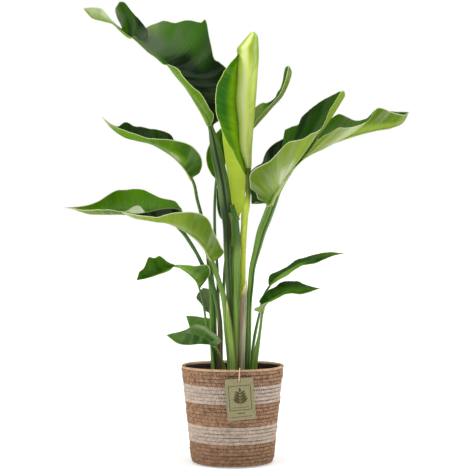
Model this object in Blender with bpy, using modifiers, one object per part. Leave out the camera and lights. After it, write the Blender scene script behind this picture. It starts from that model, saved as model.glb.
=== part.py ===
"""Potted bird of paradise with its nursery pot, soil and striped plaited basket.

Metres, +Z up. The origin is on the basket's axis, on the surface it stands on. +X points to the
plant's right side and -Y to its front. Every leaf is a blade and a stalk, and all of them only
rest in the pot, so nothing here moves.
"""

import math

import bpy
import numpy as np
from mathutils import Matrix

# ---------------------------------------------------------------------------------------
# Driving dimensions
# ---------------------------------------------------------------------------------------
GAP = 0.0003

BASKET_HEIGHT = 0.198
BASKET_RIM_RADIUS = 0.105
BASKET_BASE_RADIUS = 0.0845
BASKET_CORNER = 0.012
BASKET_WALL = 0.0068
BASKET_ROW = 0.0073
FLOOR_RADIUS = 0.072
FLOOR_THICK = 0.0070
FIRST_ROW_Z = 0.003
BAND_ROWS = (("basket_band_low", 6, "natural"), ("basket_band_white_low", 5, "white"),
             ("basket_band_middle", 6, "natural"), ("basket_band_white_high", 5, "white"),
             ("basket_band_top", 4, "natural"))

POT_HEIGHT = 0.182
POT_TOP_RADIUS = 0.0915
POT_BASE_RADIUS = 0.0700
POT_WALL = 0.0013
POT_LIP = 0.0035
POT_LIP_HEIGHT = 0.0100
DRAIN_HOLE_RADIUS = 0.0050
DRAIN_HOLE_RING = 0.048
DRAIN_HOLES = 6
DRAIN_CUT = 0.012

SOIL_TOP = 0.1830
STALK_FOOT = SOIL_TOP + 2 * GAP
STALK_FOOT_RUN = 0.024
STALK_STEPS = {"stalk_top_left": 26, "stalk_right": 20}
LEAF_THICK = 0.0011

TAG_WIDTH = 0.056
TAG_HEIGHT = 0.083
TAG_THICK = 0.0010
TAG_CENTRE = (0.0157, -0.1085, 0.1410)
TAG_TILT = math.radians(3.5)
TAG_ROLL = math.radians(-4.6)
TAG_TURN = math.radians(5)
TAG_HOLE_RADIUS = 0.0027
TAG_HOLE_DOWN = 0.0065
TAG_HOLE_CUT = 0.006
TWINE_RADIUS = 0.0009

ROUND_STEPS = 36

# ---------------------------------------------------------------------------------------
# Finishes: colour, roughness
# ---------------------------------------------------------------------------------------
FINISHES = {
    "leaf": ((0.030, 0.110, 0.022), 0.38),
    "young_leaf": ((0.330, 0.560, 0.090), 0.36),
    "stalk": ((0.095, 0.225, 0.070), 0.42),
    "dry_sheath": ((0.400, 0.300, 0.200), 0.70),
    "natural": ((0.430, 0.240, 0.125), 0.85),
    "white": ((0.620, 0.520, 0.420), 0.85),
    "pot": ((0.030, 0.022, 0.020), 0.50),
    "soil": ((0.020, 0.012, 0.009), 0.95),
    "card": ((0.350, 0.330, 0.170), 0.80),
    "twine": ((0.600, 0.440, 0.250), 0.85),
}

# ---------------------------------------------------------------------------------------
# Leaf blades, in millimetres. A midrib runs from the leaf's base to its tip, and each half of
# the blade lies between it and one margin. "left" and "right" are as seen from the base with
# the upper side up. A key is (place in thousandths of the leaf's length, x, y, z). Matching
# places of midrib and margin are joined by a vein, "belly" is how far the middle of that vein
# stands off a straight line, and "rows" are the places where the blade gets a row of points.
# ---------------------------------------------------------------------------------------
BLADES = {
    "leaf_top_left": dict(
        rows=(0, 45, 90, 140, 190, 240, 290, 330, 360, 385, 412, 450, 490, 540, 580, 625, 662, 690, 720,
              750, 775, 805, 850, 900, 940, 970, 990),
        half=4,
        midrib=((0, -44, 0, 684), (70, -56, -4, 708), (150, -72, -8, 734), (250, -92, -14, 764),
                (350, -115, -20, 790), (450, -134, -26, 814), (550, -162, -30, 837),
                (650, -185, -32, 855), (720, -199, -34, 862), (780, -207, -34, 861),
                (840, -217, -34, 867), (890, -229, -33, 878), (930, -243, -32, 890),
                (960, -263, -31, 896), (980, -283, -30, 902), (1000, -300, -28, 919)),
        left=((0, -48, -2, 682), (30, -40, -20, 694), (60, -38, -35, 706), (90, -46, -45, 716),
              (130, -53, -55, 731), (180, -65, -66, 746), (240, -84, -75, 762), (300, -97, -80, 777),
              (360, -109, -80, 792), (420, -124, -75, 801), (470, -136, -68, 802), (520, -151, -60, 814),
              (580, -167, -55, 827), (640, -183, -50, 841), (690, -194, -45, 852), (730, -201, -42, 858),
              (780, -207, -45, 861), (850, -220, -50, 871), (900, -235, -52, 884), (930, -244, -50, 896),
              (950, -254, -46, 908), (970, -265, -40, 919), (985, -282, -34, 922),
              (1000, -300, -28, 922)),
        right=((0, -40, 2, 688), (60, -24, 12, 701), (120, -7, 30, 725), (200, 3, 45, 760),
               (270, -3, 55, 790), (320, -14, 60, 812), (350, -28, 62, 825), (370, -39, 60, 833),
               (385, -44, 66, 854), (400, -50, 70, 884), (412, -54, 70, 907), (450, -68, 72, 909),
               (490, -98, 70, 913), (540, -123, 66, 907), (580, -145, 62, 911), (610, -158, 56, 904),
               (640, -178, 46, 895), (660, -175, -12, 883), (690, -186, -18, 896), (720, -196, -24, 907),
               (750, -209, -28, 922), (775, -220, -30, 934), (790, -228, -30, 934),
               (805, -231, -28, 930), (825, -237, -24, 921), (850, -234, -20, 903),
               (880, -222, -18, 886), (905, -214, -20, 874), (925, -232, -26, 886),
               (945, -246, -28, 899), (965, -258, -29, 909), (980, -276, -29, 914),
               (1000, -300, -28, 920)),
        left_belly=((0, 0, 0, 0), (150, -4, -6, -4), (400, -4, -6, -4), (500, 0, 0, 0), (1000, 0, 0, 0)),
        right_belly=((0, 0, 0, 0), (150, 4, 12, -6), (350, 8, 14, -12), (385, 4, 10, -16),
                     (420, 4, -2, -18), (600, 2, -2, -14), (650, 8, 0, -4), (680, 10, 0, 2),
                     (750, 8, 4, 0), (900, 0, 0, 0), (1000, 0, 0, 0))),
    "leaf_narrow": dict(
        rows=(0, 70, 130, 200, 300, 400, 500, 600, 700, 780, 860, 940, 985),
        half=3,
        midrib=((0, 38, 25, 677), (150, 53, 25, 695), (300, 67, 24, 710), (450, 83, 23, 728),
                (600, 100, 21, 746), (720, 110, 19, 763), (840, 118, 18, 783), (940, 121, 17, 800),
                (1000, 116, 16, 811)),
        left=((0, 36, 27, 684), (70, 41, 34, 717), (130, 49, 40, 729), (200, 61, 42, 737),
              (300, 70, 42, 737), (400, 80, 40, 741), (500, 89, 36, 749), (580, 93, 34, 758),
              (680, 99, 30, 767), (780, 104, 26, 783), (880, 106, 22, 798), (960, 110, 18, 809),
              (1000, 115, 16, 811)),
        right=((0, 39, 24, 679), (150, 50, 12, 701), (300, 65, 8, 717), (450, 80, 6, 733),
               (600, 94, 6, 748), (720, 102, 8, 763), (840, 109, 10, 784), (940, 113, 14, 801),
               (1000, 115, 16, 811)),
        left_belly=((0, 0, 0, 0), (300, -1, 3, -3), (1000, 0, 0, 0))),
    "leaf_right": dict(
        rows=(0, 18, 36, 60, 85, 105, 125, 145, 160, 171, 187, 202, 210, 222, 250, 260, 275, 310, 360,
              420, 500, 580, 650, 750, 850, 930, 985),
        half=4,
        midrib=((0, 77, -20, 522), (60, 83, -21, 539), (120, 93, -22, 558), (200, 108, -23, 582),
                (280, 124, -24, 604), (360, 143, -24, 621), (440, 165, -24, 634), (520, 189, -22, 646),
                (600, 218, -20, 656), (700, 253, -18, 667), (800, 290, -14, 676), (900, 327, -10, 683),
                (960, 348, -6, 694), (1000, 360, -4, 714)),
        left=((0, 70, -18, 526), (10, 60, 0, 529), (22, 49, 12, 531), (32, 40, 22, 527),
              (45, 38, 30, 544), (60, 37, 38, 571), (75, 39, 45, 596), (85, 51, 50, 607),
              (92, 61, 52, 613), (100, 65, 55, 626), (110, 73, 60, 640), (123, 95, 66, 659),
              (130, 111, 66, 667), (134, 115, 66, 668), (139, 109, 68, 680), (147, 121, 70, 689),
              (158, 139, 71, 696), (165, 143, 72, 705), (185, 160, 72, 725), (210, 185, 70, 743),
              (235, 214, 66, 758), (246, 227, 62, 763), (252, 233, 60, 759), (270, 205, 50, 711),
              (300, 221, 48, 715), (340, 238, 46, 708), (410, 254, 42, 701), (480, 270, 36, 701),
              (560, 286, 30, 712), (620, 294, 26, 721), (780, 321, 14, 717), (1000, 360, -4, 714)),
        right=((0, 71, -22, 525), (8, 63, -30, 531), (18, 51, -45, 537), (26, 47, -50, 548),
               (36, 38, -60, 553), (48, 35, -70, 566), (60, 35, -80, 582), (70, 42, -88, 592),
               (82, 58, -95, 601), (94, 74, -100, 609), (104, 86, -100, 621), (115, 98, -100, 635),
               (126, 111, -100, 646), (136, 125, -100, 649), (145, 139, -100, 652), (156, 155, -98, 662),
               (165, 169, -95, 668), (171, 177, -90, 676), (179, 185, -85, 693), (187, 195, -80, 713),
               (193, 203, -78, 725), (198, 211, -76, 741), (202, 219, -75, 750), (208, 224, -70, 740),
               (222, 173, -62, 661), (240, 185, -64, 663), (270, 198, -66, 669), (310, 210, -66, 676),
               (360, 225, -63, 677), (420, 241, -60, 679), (480, 257, -55, 684), (540, 276, -50, 697),
               (580, 283, -48, 710), (620, 292, -44, 718), (670, 303, -40, 718), (750, 320, -30, 712),
               (850, 340, -18, 708), (930, 352, -10, 708), (1000, 360, -4, 715)),
        left_belly=((0, 0, 0, 0), (100, -4, 8, -4), (220, -2, 12, -6), (300, 0, 10, -8), (700, 0, 4, -6),
                    (1000, 0, 0, 0)),
        right_belly=((0, 0, 0, 0), (50, 2, -12, -4), (120, -2, -14, 0), (190, 4, -10, -2),
                     (205, 7, -6, -1), (225, 0, -6, -6), (600, 2, -8, -6), (1000, 0, 0, 0))),
    "leaf_left_upper": dict(
        rows=(0, 40, 80, 120, 170, 220, 270, 330, 400, 460, 520, 580, 640, 700, 750, 790, 830, 880, 940,
              985),
        half=3,
        midrib=((0, -83, -5, 575), (80, -90, -6, 588), (200, -103, -8, 606), (320, -120, -12, 622),
                (440, -141, -16, 636), (560, -165, -20, 648), (680, -191, -23, 654),
                (800, -220, -25, 662), (900, -243, -26, 678), (1000, -264, -26, 702)),
        left=((0, -82, -6, 581), (30, -78, -15, 585), (70, -68, -30, 587), (120, -61, -42, 600),
              (170, -61, -50, 613), (220, -67, -56, 626), (270, -77, -60, 638), (330, -91, -60, 646),
              (400, -109, -60, 651), (480, -131, -58, 654), (560, -155, -55, 656), (620, -169, -50, 657),
              (700, -192, -45, 665), (800, -214, -38, 673), (900, -240, -30, 684),
              (1000, -264, -26, 702)),
        right=((0, -81, -3, 581), (100, -75, 10, 600), (200, -81, 20, 621), (300, -94, 26, 640),
               (380, -113, 30, 653), (420, -121, 30, 660), (460, -127, 30, 669), (520, -140, 30, 677),
               (580, -154, 28, 680), (640, -170, 25, 682), (700, -188, 20, 686), (750, -202, 16, 687),
               (790, -215, 10, 693), (830, -223, 6, 693), (870, -233, -4, 685), (930, -249, -15, 690),
               (1000, -264, -26, 702)),
        left_belly=((0, 0, 0, 0), (200, -2, -8, -6), (450, -4, -6, -2), (600, 0, -4, -3),
                    (1000, 0, 0, 0)),
        right_belly=((0, 0, 0, 0), (500, 0, 4, -6), (1000, 0, 0, 0))),
    "leaf_left_middle": dict(
        rows=(0, 50, 100, 150, 200, 260, 300, 330, 360, 400, 450, 500, 580, 650, 720, 800, 880, 940, 990),
        half=3,
        midrib=((0, -125, 20, 500), (100, -143, 20, 503), (200, -166, 20, 504), (300, -186, 20, 505),
                (420, -215, 20, 507), (550, -246, 20, 506), (700, -279, 20, 506), (800, -297, 20, 507),
                (880, -314, 20, 512), (950, -330, 20, 517), (1000, -347, 20, 519)),
        left=((0, -124, 16, 506), (100, -138, 6, 510), (200, -160, 0, 509), (270, -176, -4, 507),
              (300, -183, -6, 516), (330, -190, -8, 522), (360, -198, -10, 522), (390, -206, -12, 518),
              (420, -214, -14, 512), (500, -230, -18, 512), (600, -253, -18, 514), (700, -274, -12, 515),
              (800, -293, 0, 514), (880, -311, 10, 515), (950, -328, 16, 518), (1000, -347, 20, 519)),
        right=((0, -123, 24, 506), (40, -113, 30, 505), (80, -105, 45, 513), (130, -112, 55, 525),
               (180, -119, 65, 533), (240, -135, 72, 537), (300, -153, 78, 542), (360, -170, 82, 550),
               (430, -187, 84, 558), (500, -208, 84, 560), (580, -228, 80, 558), (650, -245, 72, 556),
               (720, -260, 62, 547), (800, -280, 50, 533), (880, -300, 38, 525), (950, -323, 28, 521),
               (1000, -347, 20, 519)),
        left_belly=((0, 0, 0, 0), (500, 0, -3, -5), (1000, 0, 0, 0)),
        right_belly=((0, 0, 0, 0), (400, 0, 8, -12), (700, 0, 4, -6), (1000, 0, 0, 0))),
    "leaf_left_front": dict(
        rows=(0, 50, 100, 150, 200, 260, 330, 380, 440, 500, 560, 620, 700, 800, 900, 980),
        half=3,
        midrib=((0, -42, -20, 408), (60, -48, -22, 422), (120, -55, -25, 436), (200, -68, -30, 452),
                (300, -87, -34, 467), (400, -108, -38, 479), (500, -130, -42, 488),
                (600, -152, -45, 491), (700, -174, -46, 494), (800, -194, -46, 497),
                (900, -210, -46, 503), (1000, -224, -46, 509)),
        left=((0, -36, -22, 411), (30, -27, -35, 416), (70, -17, -50, 428), (120, -23, -62, 441),
              (180, -33, -75, 460), (240, -39, -83, 475), (290, -44, -88, 488), (330, -50, -90, 497),
              (380, -64, -92, 505), (440, -84, -92, 509), (500, -103, -90, 508), (550, -121, -87, 506),
              (600, -133, -83, 503), (660, -148, -78, 499), (720, -164, -74, 500), (800, -182, -68, 502),
              (900, -205, -58, 506), (1000, -224, -46, 509)),
        right=((0, -40, -18, 414), (150, -52, -6, 449), (300, -76, -8, 481), (400, -93, -12, 502),
               (460, -103, -14, 512), (500, -115, -16, 517), (550, -131, -18, 518),
               (620, -151, -22, 515), (700, -171, -26, 510), (800, -193, -32, 507),
               (900, -208, -38, 508), (1000, -224, -46, 509)),
        left_belly=((0, 0, 0, 0), (200, -4, -10, -6), (500, -2, -8, -6), (1000, 0, 0, 0)),
        right_belly=((0, 0, 0, 0), (500, 0, 4, -4), (1000, 0, 0, 0))),
    "leaf_left_low": dict(
        rows=(0, 50, 100, 150, 200, 260, 320, 380, 440, 480, 530, 580, 610, 660, 710, 780, 840, 900, 950,
              985),
        half=3,
        midrib=((0, -67, 8, 352), (120, -73, 8, 367), (250, -85, 8, 380), (380, -101, 6, 392),
                (480, -117, 5, 400), (550, -128, 4, 395), (700, -152, 3, 384), (850, -175, 3, 376),
                (1000, -197, 4, 370)),
        left=((0, -65, 6, 357), (40, -58, -4, 365), (90, -49, -15, 378), (150, -45, -24, 391),
              (200, -50, -30, 402), (260, -62, -30, 403), (320, -76, -28, 401), (380, -92, -22, 402),
              (440, -107, -10, 403), (480, -116, 0, 402), (530, -125, -4, 393), (600, -136, -6, 387),
              (700, -154, -8, 381), (850, -176, -4, 374), (1000, -197, 4, 370)),
        right=((0, -67, 10, 356), (100, -59, 20, 379), (200, -61, 26, 395), (300, -77, 24, 399),
               (400, -100, 16, 401), (480, -117, 10, 402), (530, -133, 20, 408), (580, -146, 28, 418),
               (610, -151, 30, 420), (660, -162, 32, 416), (710, -172, 32, 418), (780, -178, 28, 407),
               (840, -183, 22, 395), (900, -192, 16, 387), (950, -194, 10, 379), (1000, -197, 4, 370)),
        left_belly=((0, 0, 0, 0), (200, -2, -5, -3), (480, 0, 0, 0), (1000, 0, 0, 0)),
        right_belly=((0, 0, 0, 0), (650, 0, 4, -4), (1000, 0, 0, 0))),
    "leaf_back_centre": dict(
        rows=(0, 100, 220, 350, 500, 620, 800, 960),
        half=3,
        midrib=((0, -35, 60, 580), (300, -34, 62, 614), (600, -30, 65, 647), (1000, -23, 66, 688)),
        left=((0, -36, 60, 581), (100, -43, 60, 588), (220, -51, 58, 603), (350, -55, 58, 620),
              (500, -53, 58, 640), (620, -47, 60, 655), (800, -36, 62, 674), (1000, -23, 66, 688)),
        right=((0, -33, 62, 581), (150, -22, 66, 595), (400, -12, 70, 624), (700, -16, 68, 662),
               (1000, -23, 66, 688))),
    "leaf_left_back": dict(
        rows=(0, 150, 300, 420, 550, 700, 850, 970),
        half=3,
        midrib=((0, -47, 30, 302), (300, -51, 36, 318), (650, -56, 44, 336), (1000, -62, 54, 352)),
        left=((0, -49, 30, 302), (150, -57, 30, 307), (300, -62, 28, 316), (420, -67, 28, 323),
              (550, -74, 30, 331), (700, -74, 34, 338), (850, -69, 44, 346), (1000, -62, 54, 353)),
        right=((0, -45, 31, 304), (300, -39, 45, 315), (600, -41, 50, 334), (800, -46, 54, 347),
               (900, -51, 55, 351), (1000, -62, 54, 353))),
    "leaf_left_small": dict(
        rows=(0, 150, 300, 450, 600, 800, 900, 970),
        half=3,
        midrib=((0, -43, 38, 266), (400, -61, 42, 276), (750, -80, 46, 286), (1000, -97, 50, 295)),
        left=((0, -43, 36, 262), (300, -57, 30, 261), (600, -78, 34, 263), (800, -89, 40, 272),
              (900, -93, 45, 283), (1000, -97, 50, 295)),
        right=((0, -41, 40, 270), (200, -43, 50, 286), (500, -62, 56, 291), (800, -80, 56, 294),
               (1000, -97, 50, 295))),
    "leaf_left_lowest": dict(
        rows=(0, 80, 150, 220, 300, 380, 480, 600, 700, 820, 960),
        half=3,
        midrib=((0, -33, -30, 239), (120, -43, -32, 247), (300, -63, -36, 258), (500, -85, -40, 265),
                (750, -109, -44, 264), (1000, -133, -46, 262)),
        left=((0, -35, -32, 237), (100, -45, -45, 242), (250, -59, -60, 245), (400, -77, -66, 244),
              (550, -99, -66, 244), (680, -112, -62, 248), (820, -123, -56, 255), (1000, -133, -46, 262)),
        right=((0, -31, -28, 241), (50, -23, -20, 247), (120, -29, -12, 256), (200, -42, -8, 266),
               (280, -53, -6, 276), (380, -68, -8, 280), (500, -83, -14, 278), (600, -92, -20, 271),
               (700, -103, -26, 267), (850, -120, -36, 265), (1000, -133, -46, 262)),
        left_belly=((0, 0, 0, 0), (400, 0, 0, -3), (1000, 0, 0, 0)),
        right_belly=((0, 0, 0, 0), (300, 0, 0, 4), (1000, 0, 0, 0))),
    "leaf_right_upper": dict(
        rows=(0, 80, 180, 280, 380, 480, 580, 680, 780, 880, 970),
        half=3,
        midrib=((0, 75, -4, 360), (100, 85, -5, 372), (220, 100, -6, 384), (350, 117, -6, 394),
                (500, 140, -5, 406), (650, 164, -4, 413), (800, 191, -2, 420), (1000, 231, 0, 426)),
        left=((0, 73, -2, 363), (60, 74, 8, 374), (130, 79, 16, 382), (200, 92, 24, 388),
              (280, 106, 30, 394), (360, 119, 34, 402), (460, 136, 36, 413), (560, 154, 34, 418),
              (660, 172, 30, 423), (780, 193, 22, 427), (870, 206, 14, 428), (940, 220, 6, 426),
              (1000, 231, 0, 426)),
        right=((0, 76, -6, 358), (80, 84, -20, 365), (180, 96, -32, 373), (280, 110, -40, 381),
               (380, 124, -44, 392), (480, 139, -44, 401), (560, 154, -40, 403), (660, 170, -34, 407),
               (780, 190, -22, 415), (900, 211, -10, 422), (1000, 231, 0, 426)),
        left_belly=((0, 0, 0, 0), (500, 0, 0, 3), (1000, 0, 0, 0)),
        right_belly=((0, 0, 0, 0), (400, 0, -2, 3), (1000, 0, 0, 0))),
    "leaf_right_lower": dict(
        rows=(0, 50, 100, 150, 200, 280, 360, 450, 530, 620, 740, 870, 970),
        half=3,
        midrib=((0, 61, -32, 307), (100, 66, -35, 322), (200, 78, -38, 333), (350, 98, -43, 345),
                (500, 116, -46, 353), (700, 140, -46, 355), (1000, 177, -46, 356)),
        left=((0, 62, -30, 309), (50, 57, -20, 325), (100, 54, -16, 328), (150, 59, -13, 337),
              (200, 66, -10, 346), (260, 76, -6, 352), (320, 87, 0, 357), (390, 98, 6, 365),
              (460, 110, 12, 369), (530, 120, 10, 369), (600, 132, 4, 368), (700, 146, -8, 363),
              (850, 163, -28, 358), (1000, 177, -46, 356)),
        right=((0, 58, -34, 306), (40, 45, -50, 311), (80, 43, -60, 315), (130, 51, -66, 319),
               (200, 63, -70, 327), (280, 76, -72, 330), (360, 91, -70, 338), (440, 105, -66, 344),
               (520, 119, -60, 346), (620, 135, -56, 344), (740, 151, -52, 347), (870, 166, -48, 352),
               (1000, 177, -46, 356)),
        left_belly=((0, 0, 0, 0), (400, 0, 0, -2), (1000, 0, 0, 0))),
    "spear_wrap": dict(
        rows=(0, 100, 200, 300, 400, 500, 600, 700, 850, 960),
        half=2, finish="young_leaf",
        midrib=((0, 13, 0, 502), (100, 15, 0, 518), (300, 21, 2, 551), (500, 21, 6, 586),
                (700, 9, 12, 615), (850, -7, 18, 648), (1000, -23, 22, 684)),
        left=((0, 7, -2, 502), (100, 0, 0, 512), (300, -5, 4, 545), (500, -10, 10, 584),
              (700, -15, 16, 617), (850, -19, 20, 648), (1000, -23, 22, 684)),
        right=((0, 19, 0, 510), (150, 26, 0, 520), (350, 26, 2, 555), (500, 26, 4, 585),
               (700, 12, 10, 615), (850, -5, 17, 648), (1000, -23, 22, 684))),
}

# The young leaf is still rolled, so its blade is drawn out from the midrib by angles: each half
# holds (place along the leaf, angle at the midrib, angle half way out, angle at the margin), in
# degrees above flat. "up" is the way that its upper side faces, and "sweep" is how far the veins
# lean towards the tip, as a part of their length.
ROLLED = {
    "leaf_spear": dict(
        midrib=((0.030, -0.010, 0.518), (0.038, -0.012, 0.575), (0.048, -0.014, 0.676),
                (0.054, -0.012, 0.778), (0.048, -0.004, 0.875)),
        widths=(0.098, 0.106), peak=0.42, base=0.8, fall=0.6, grid=(12, 7),
        up=((0, -1, 0, 0), (1, -1, 0.1, 0)),
        left=((0, 20, 95, 110), (0.6, 20, 95, 110), (1, 40, 100, 125)),
        right=((0, 10, 155, 320), (1, 10, 155, 320)),
        sweep_left=((0, 0.6), (0.4, 0.4), (1, 0.3)), sweep_right=((0, 0.6), (0.4, 0.4), (1, 0.3))),
}

# ---------------------------------------------------------------------------------------
# Stalks in millimetres, from the blade down to the soil: (x, y, z, radius) of the centre line.
# ---------------------------------------------------------------------------------------
STALKS = {
    "stalk_top_left": ((-138, -26, 811, 1.6), (-118, -20, 787, 2.2), (-97, -14, 760, 2.8),
                       (-76, -8, 731, 3.5), (-62, -4, 704, 3.9), (-54, -3, 684, 4.1),
                       (-46, -3, 668, 5.9), (-38, -3, 655, 9.4), (-32, -5, 626, 11.8),
                       (-25, -6, 595, 12.2), (-20, -6, 571, 12.4), (-15, -6, 534, 12.6),
                       (-12, -6, 510, 11.8), (-10, -4, 483, 10.0), (-9, -3, 443, 9.4),
                       (-8, -2, 402, 8.6), (-4, 0, 330, 7.8), (-1, 2, 279, 6.5), (1, 3, 183, 6.1)),
    "stalk_clasping": ((-2, -20, 522, 5.5), (2, -20, 508, 6.5), (4, -19, 495, 8.3), (5, -18, 481, 8.9),
                       (7, -18, 453, 8.9), (7, -18, 412, 8.5), (8, -17, 372, 7.7), (8, -18, 331, 6.9),
                       (8, -18, 280, 6.3), (7, -18, 183, 6.1)),
    "stalk_spear": ((28, -9, 515, 6.5), (25, -8, 504, 7.3), (24, -7, 483, 6.7), (22, -5, 457, 6.9),
                    (22, -3, 432, 5.9), (21, -2, 402, 6.3), (21, 0, 371, 6.1), (20, 3, 330, 5.3),
                    (18, 4, 183, 5.3)),
    "stalk_right": ((124, -22, 595, 2.4), (113, -22, 580, 3.2), (102, -22, 561, 4.5),
                    (94, -21, 542, 5.3), (87, -20, 525, 5.7), (78, -20, 508, 8.7), (68, -20, 489, 9.9),
                    (60, -20, 473, 9.5), (50, -19, 435, 7.9), (40, -17, 394, 6.5), (37, -15, 361, 6.1),
                    (34, -12, 331, 6.1), (32, -10, 270, 6.5), (31, -8, 229, 7.1), (29, -8, 183, 7.7)),
    "stalk_left_upper": ((-80, -4, 572, 3.1), (-80, -4, 571, 3.1), (-72, 4, 535, 3.3),
                         (-65, 10, 508, 3.5), (-56, 18, 463, 4.1), (-48, 24, 407, 5.8),
                         (-44, 26, 370, 6.6), (-41, 24, 329, 7.2), (-40, 21, 288, 7.4),
                         (-39, 19, 247, 7.6), (-37, 17, 183, 7.6)),
    "stalk_left_middle": ((-125, 20, 497, 3.0), (-123, 20, 495, 3.1), (-113, 20, 480, 3.5),
                          (-100, 20, 466, 3.9), (-87, 19, 447, 3.9), (-73, 17, 424, 3.9),
                          (-61, 15, 401, 4.3), (-48, 12, 381, 4.9), (-40, 9, 356, 5.3),
                          (-33, 7, 328, 5.3), (-27, 5, 293, 5.3), (-25, 4, 262, 5.5), (-25, 4, 234, 5.5),
                          (-26, 5, 183, 5.7)),
    "stalk_left_front": ((-41, -20, 405, 5.9), (-33, -19, 386, 5.5), (-27, -18, 368, 5.3),
                         (-21, -16, 349, 5.5), (-16, -14, 329, 6.5), (-10, -13, 290, 8.1),
                         (-9, -12, 245, 8.5), (-8, -12, 183, 8.3)),
    "stalk_left_low": ((-66, 8, 349, 2.0), (-60, 7, 324, 2.3), (-56, 8, 297, 2.3), (-50, 9, 264, 2.5),
                       (-42, 7, 227, 2.7), (-37, 5, 183, 2.9)),
    "stalk_back_centre": ((-34, 60, 577, 2.9), (-35, 59, 563, 3.1), (-37, 55, 523, 3.3),
                          (-37, 50, 486, 3.3), (-36, 44, 453, 3.3), (-32, 36, 407, 3.3),
                          (-29, 30, 329, 3.3), (-25, 27, 267, 3.3), (-22, 26, 183, 3.3)),
    "stalk_narrow": ((39, 25, 674, 2.3), (37, 26, 659, 2.5), (33, 28, 618, 2.7), (23, 31, 546, 2.9),
                     (7, 32, 490, 3.1), (-7, 32, 453, 2.9), (-15, 32, 407, 2.9), (-18, 31, 349, 2.9),
                     (-16, 30, 287, 3.1), (-8, 30, 183, 3.3)),
    "stalk_left_back": ((-46, 30, 299, 1.9), (-43, 30, 267, 2.1), (-38, 29, 226, 2.3),
                        (-34, 28, 183, 2.5)),
    "stalk_left_small": ((-45, 39, 263, 1.9), (-37, 40, 241, 2.1), (-28, 40, 183, 2.5)),
    "stalk_left_lowest": ((-35, -29, 236, 2.6), (-33, -29, 234, 2.6), (-27, -28, 223, 2.6),
                          (-15, -26, 183, 2.8)),
    "stalk_right_upper": ((75, -3, 357, 2.2), (67, 0, 345, 2.5), (60, 3, 326, 2.5), (55, 4, 301, 2.5),
                          (50, 4, 279, 2.9), (45, 5, 254, 3.3), (42, 6, 232, 3.1), (39, 8, 183, 3.1)),
    "stalk_right_lower": ((60, -32, 304, 2.8), (57, -30, 281, 3.0), (54, -27, 259, 3.4),
                          (51, -25, 242, 4.7), (48, -23, 226, 5.9), (44, -20, 183, 6.3)),
}

SHEATH_MIDRIB = ((0.020, -0.0205, 0.184), (0.022, -0.0215, 0.240), (0.024, -0.0225, 0.300),
                 (0.028, -0.024, 0.370))
SHEATH_WIDTH = 0.0062

# The twine that holds the tag: over the rim, down, through the card and back up behind it.
TWINE_ROUTE = ((0.0150, -0.0945, 0.1905), (0.0149, -0.0952, 0.1970), (0.0147, -0.0978, 0.2005),
               (0.0144, -0.1018, 0.2010), (0.0141, -0.1062, 0.1992), (0.0138, -0.1095, 0.1950),
               (0.0134, -0.1122, 0.1880), (0.0131, -0.1135, 0.1820), (0.0130, -0.1137, 0.1780),
               (0.0130, -0.1126, 0.1753), (0.0130, -0.1100, 0.17425), (0.0131, -0.1073, 0.1753),
               (0.0132, -0.1062, 0.1780), (0.0136, -0.1060, 0.1840), (0.0144, -0.1060, 0.1912))


def clear_scene():
    for thing in list(bpy.data.objects):
        bpy.data.objects.remove(thing, do_unlink=True)


def new_collection(name):
    collection = bpy.data.collections.new(name)
    bpy.context.scene.collection.children.link(collection)
    return collection


def finish(name):
    """The Principled material of one finish, made once."""
    if name in bpy.data.materials:
        return bpy.data.materials[name]
    colour, roughness = FINISHES[name]
    made = bpy.data.materials.new(name)
    made.use_nodes = True
    shader = made.node_tree.nodes["Principled BSDF"]
    shader.inputs["Base Color"].default_value = (*colour, 1.0)
    shader.inputs["Roughness"].default_value = roughness
    shader.inputs["Metallic"].default_value = 0.0
    return made


def add_object(name, data, finish_name, collection):
    made = bpy.data.objects.new(name, data)
    data.materials.append(finish(finish_name))
    collection.objects.link(made)
    return made


def move_to(thing, collection):
    for owner in list(thing.users_collection):
        owner.objects.unlink(thing)
    collection.objects.link(thing)


def hide_cutter(cutter, cutters):
    cutter.hide_render = True
    cutter.display_type = "WIRE"
    move_to(cutter, cutters)


def smooth_route(points, places):
    """The points at these places (0 to 1, by length) of a smooth curve through the given ones."""
    given = np.array(points, float)
    held = np.vstack([2 * given[0] - given[1], given, 2 * given[-1] - given[-2]])
    fine = []
    for i in range(len(given) - 1):
        a, b, c, d = held[i:i + 4]
        u = np.linspace(0, 1, 24, endpoint=False)[:, None]
        fine.append(0.5 * (2 * b + (c - a) * u + (2 * a - 5 * b + 4 * c - d) * u ** 2
                           + (3 * b - a - 3 * c + d) * u ** 3))
    fine = np.vstack(fine + [given[-1:]])
    run = np.concatenate([[0], np.cumsum(np.linalg.norm(np.diff(fine, axis=0), axis=1))])
    return np.column_stack([np.interp(np.asarray(places) * run[-1], run, fine[:, k]) for k in range(3)])


def eased(keys, places):
    """The values at these places between keys of (place, value, ...), with eased steps."""
    table = np.array(keys, float)
    if len(table) == 1:
        return np.repeat(table[:, 1:], len(places), axis=0)
    at = np.interp(places, table[:, 0], np.arange(len(table)))
    low = np.clip(at.astype(int), 0, len(table) - 2)
    part = (at - low)[:, None]
    part = part * part * (3 - 2 * part)
    return table[low, 1:] * (1 - part) + table[low + 1, 1:] * part


def unit(rows):
    return rows / np.linalg.norm(rows, axis=1)[:, None]


def half_width(places, peak, base, fall):
    """A blade's half width along it, as a part of its greatest: round at the base, pointed at the tip."""
    rise = (1 - (1 - np.clip(places / peak, 0, 1)) ** 2) ** base
    drop = (1 - np.clip((places - peak) / (1 - peak), 0, 1) ** 1.8) ** fall
    return np.maximum(np.where(places < peak, rise, drop), 0.03)


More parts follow.
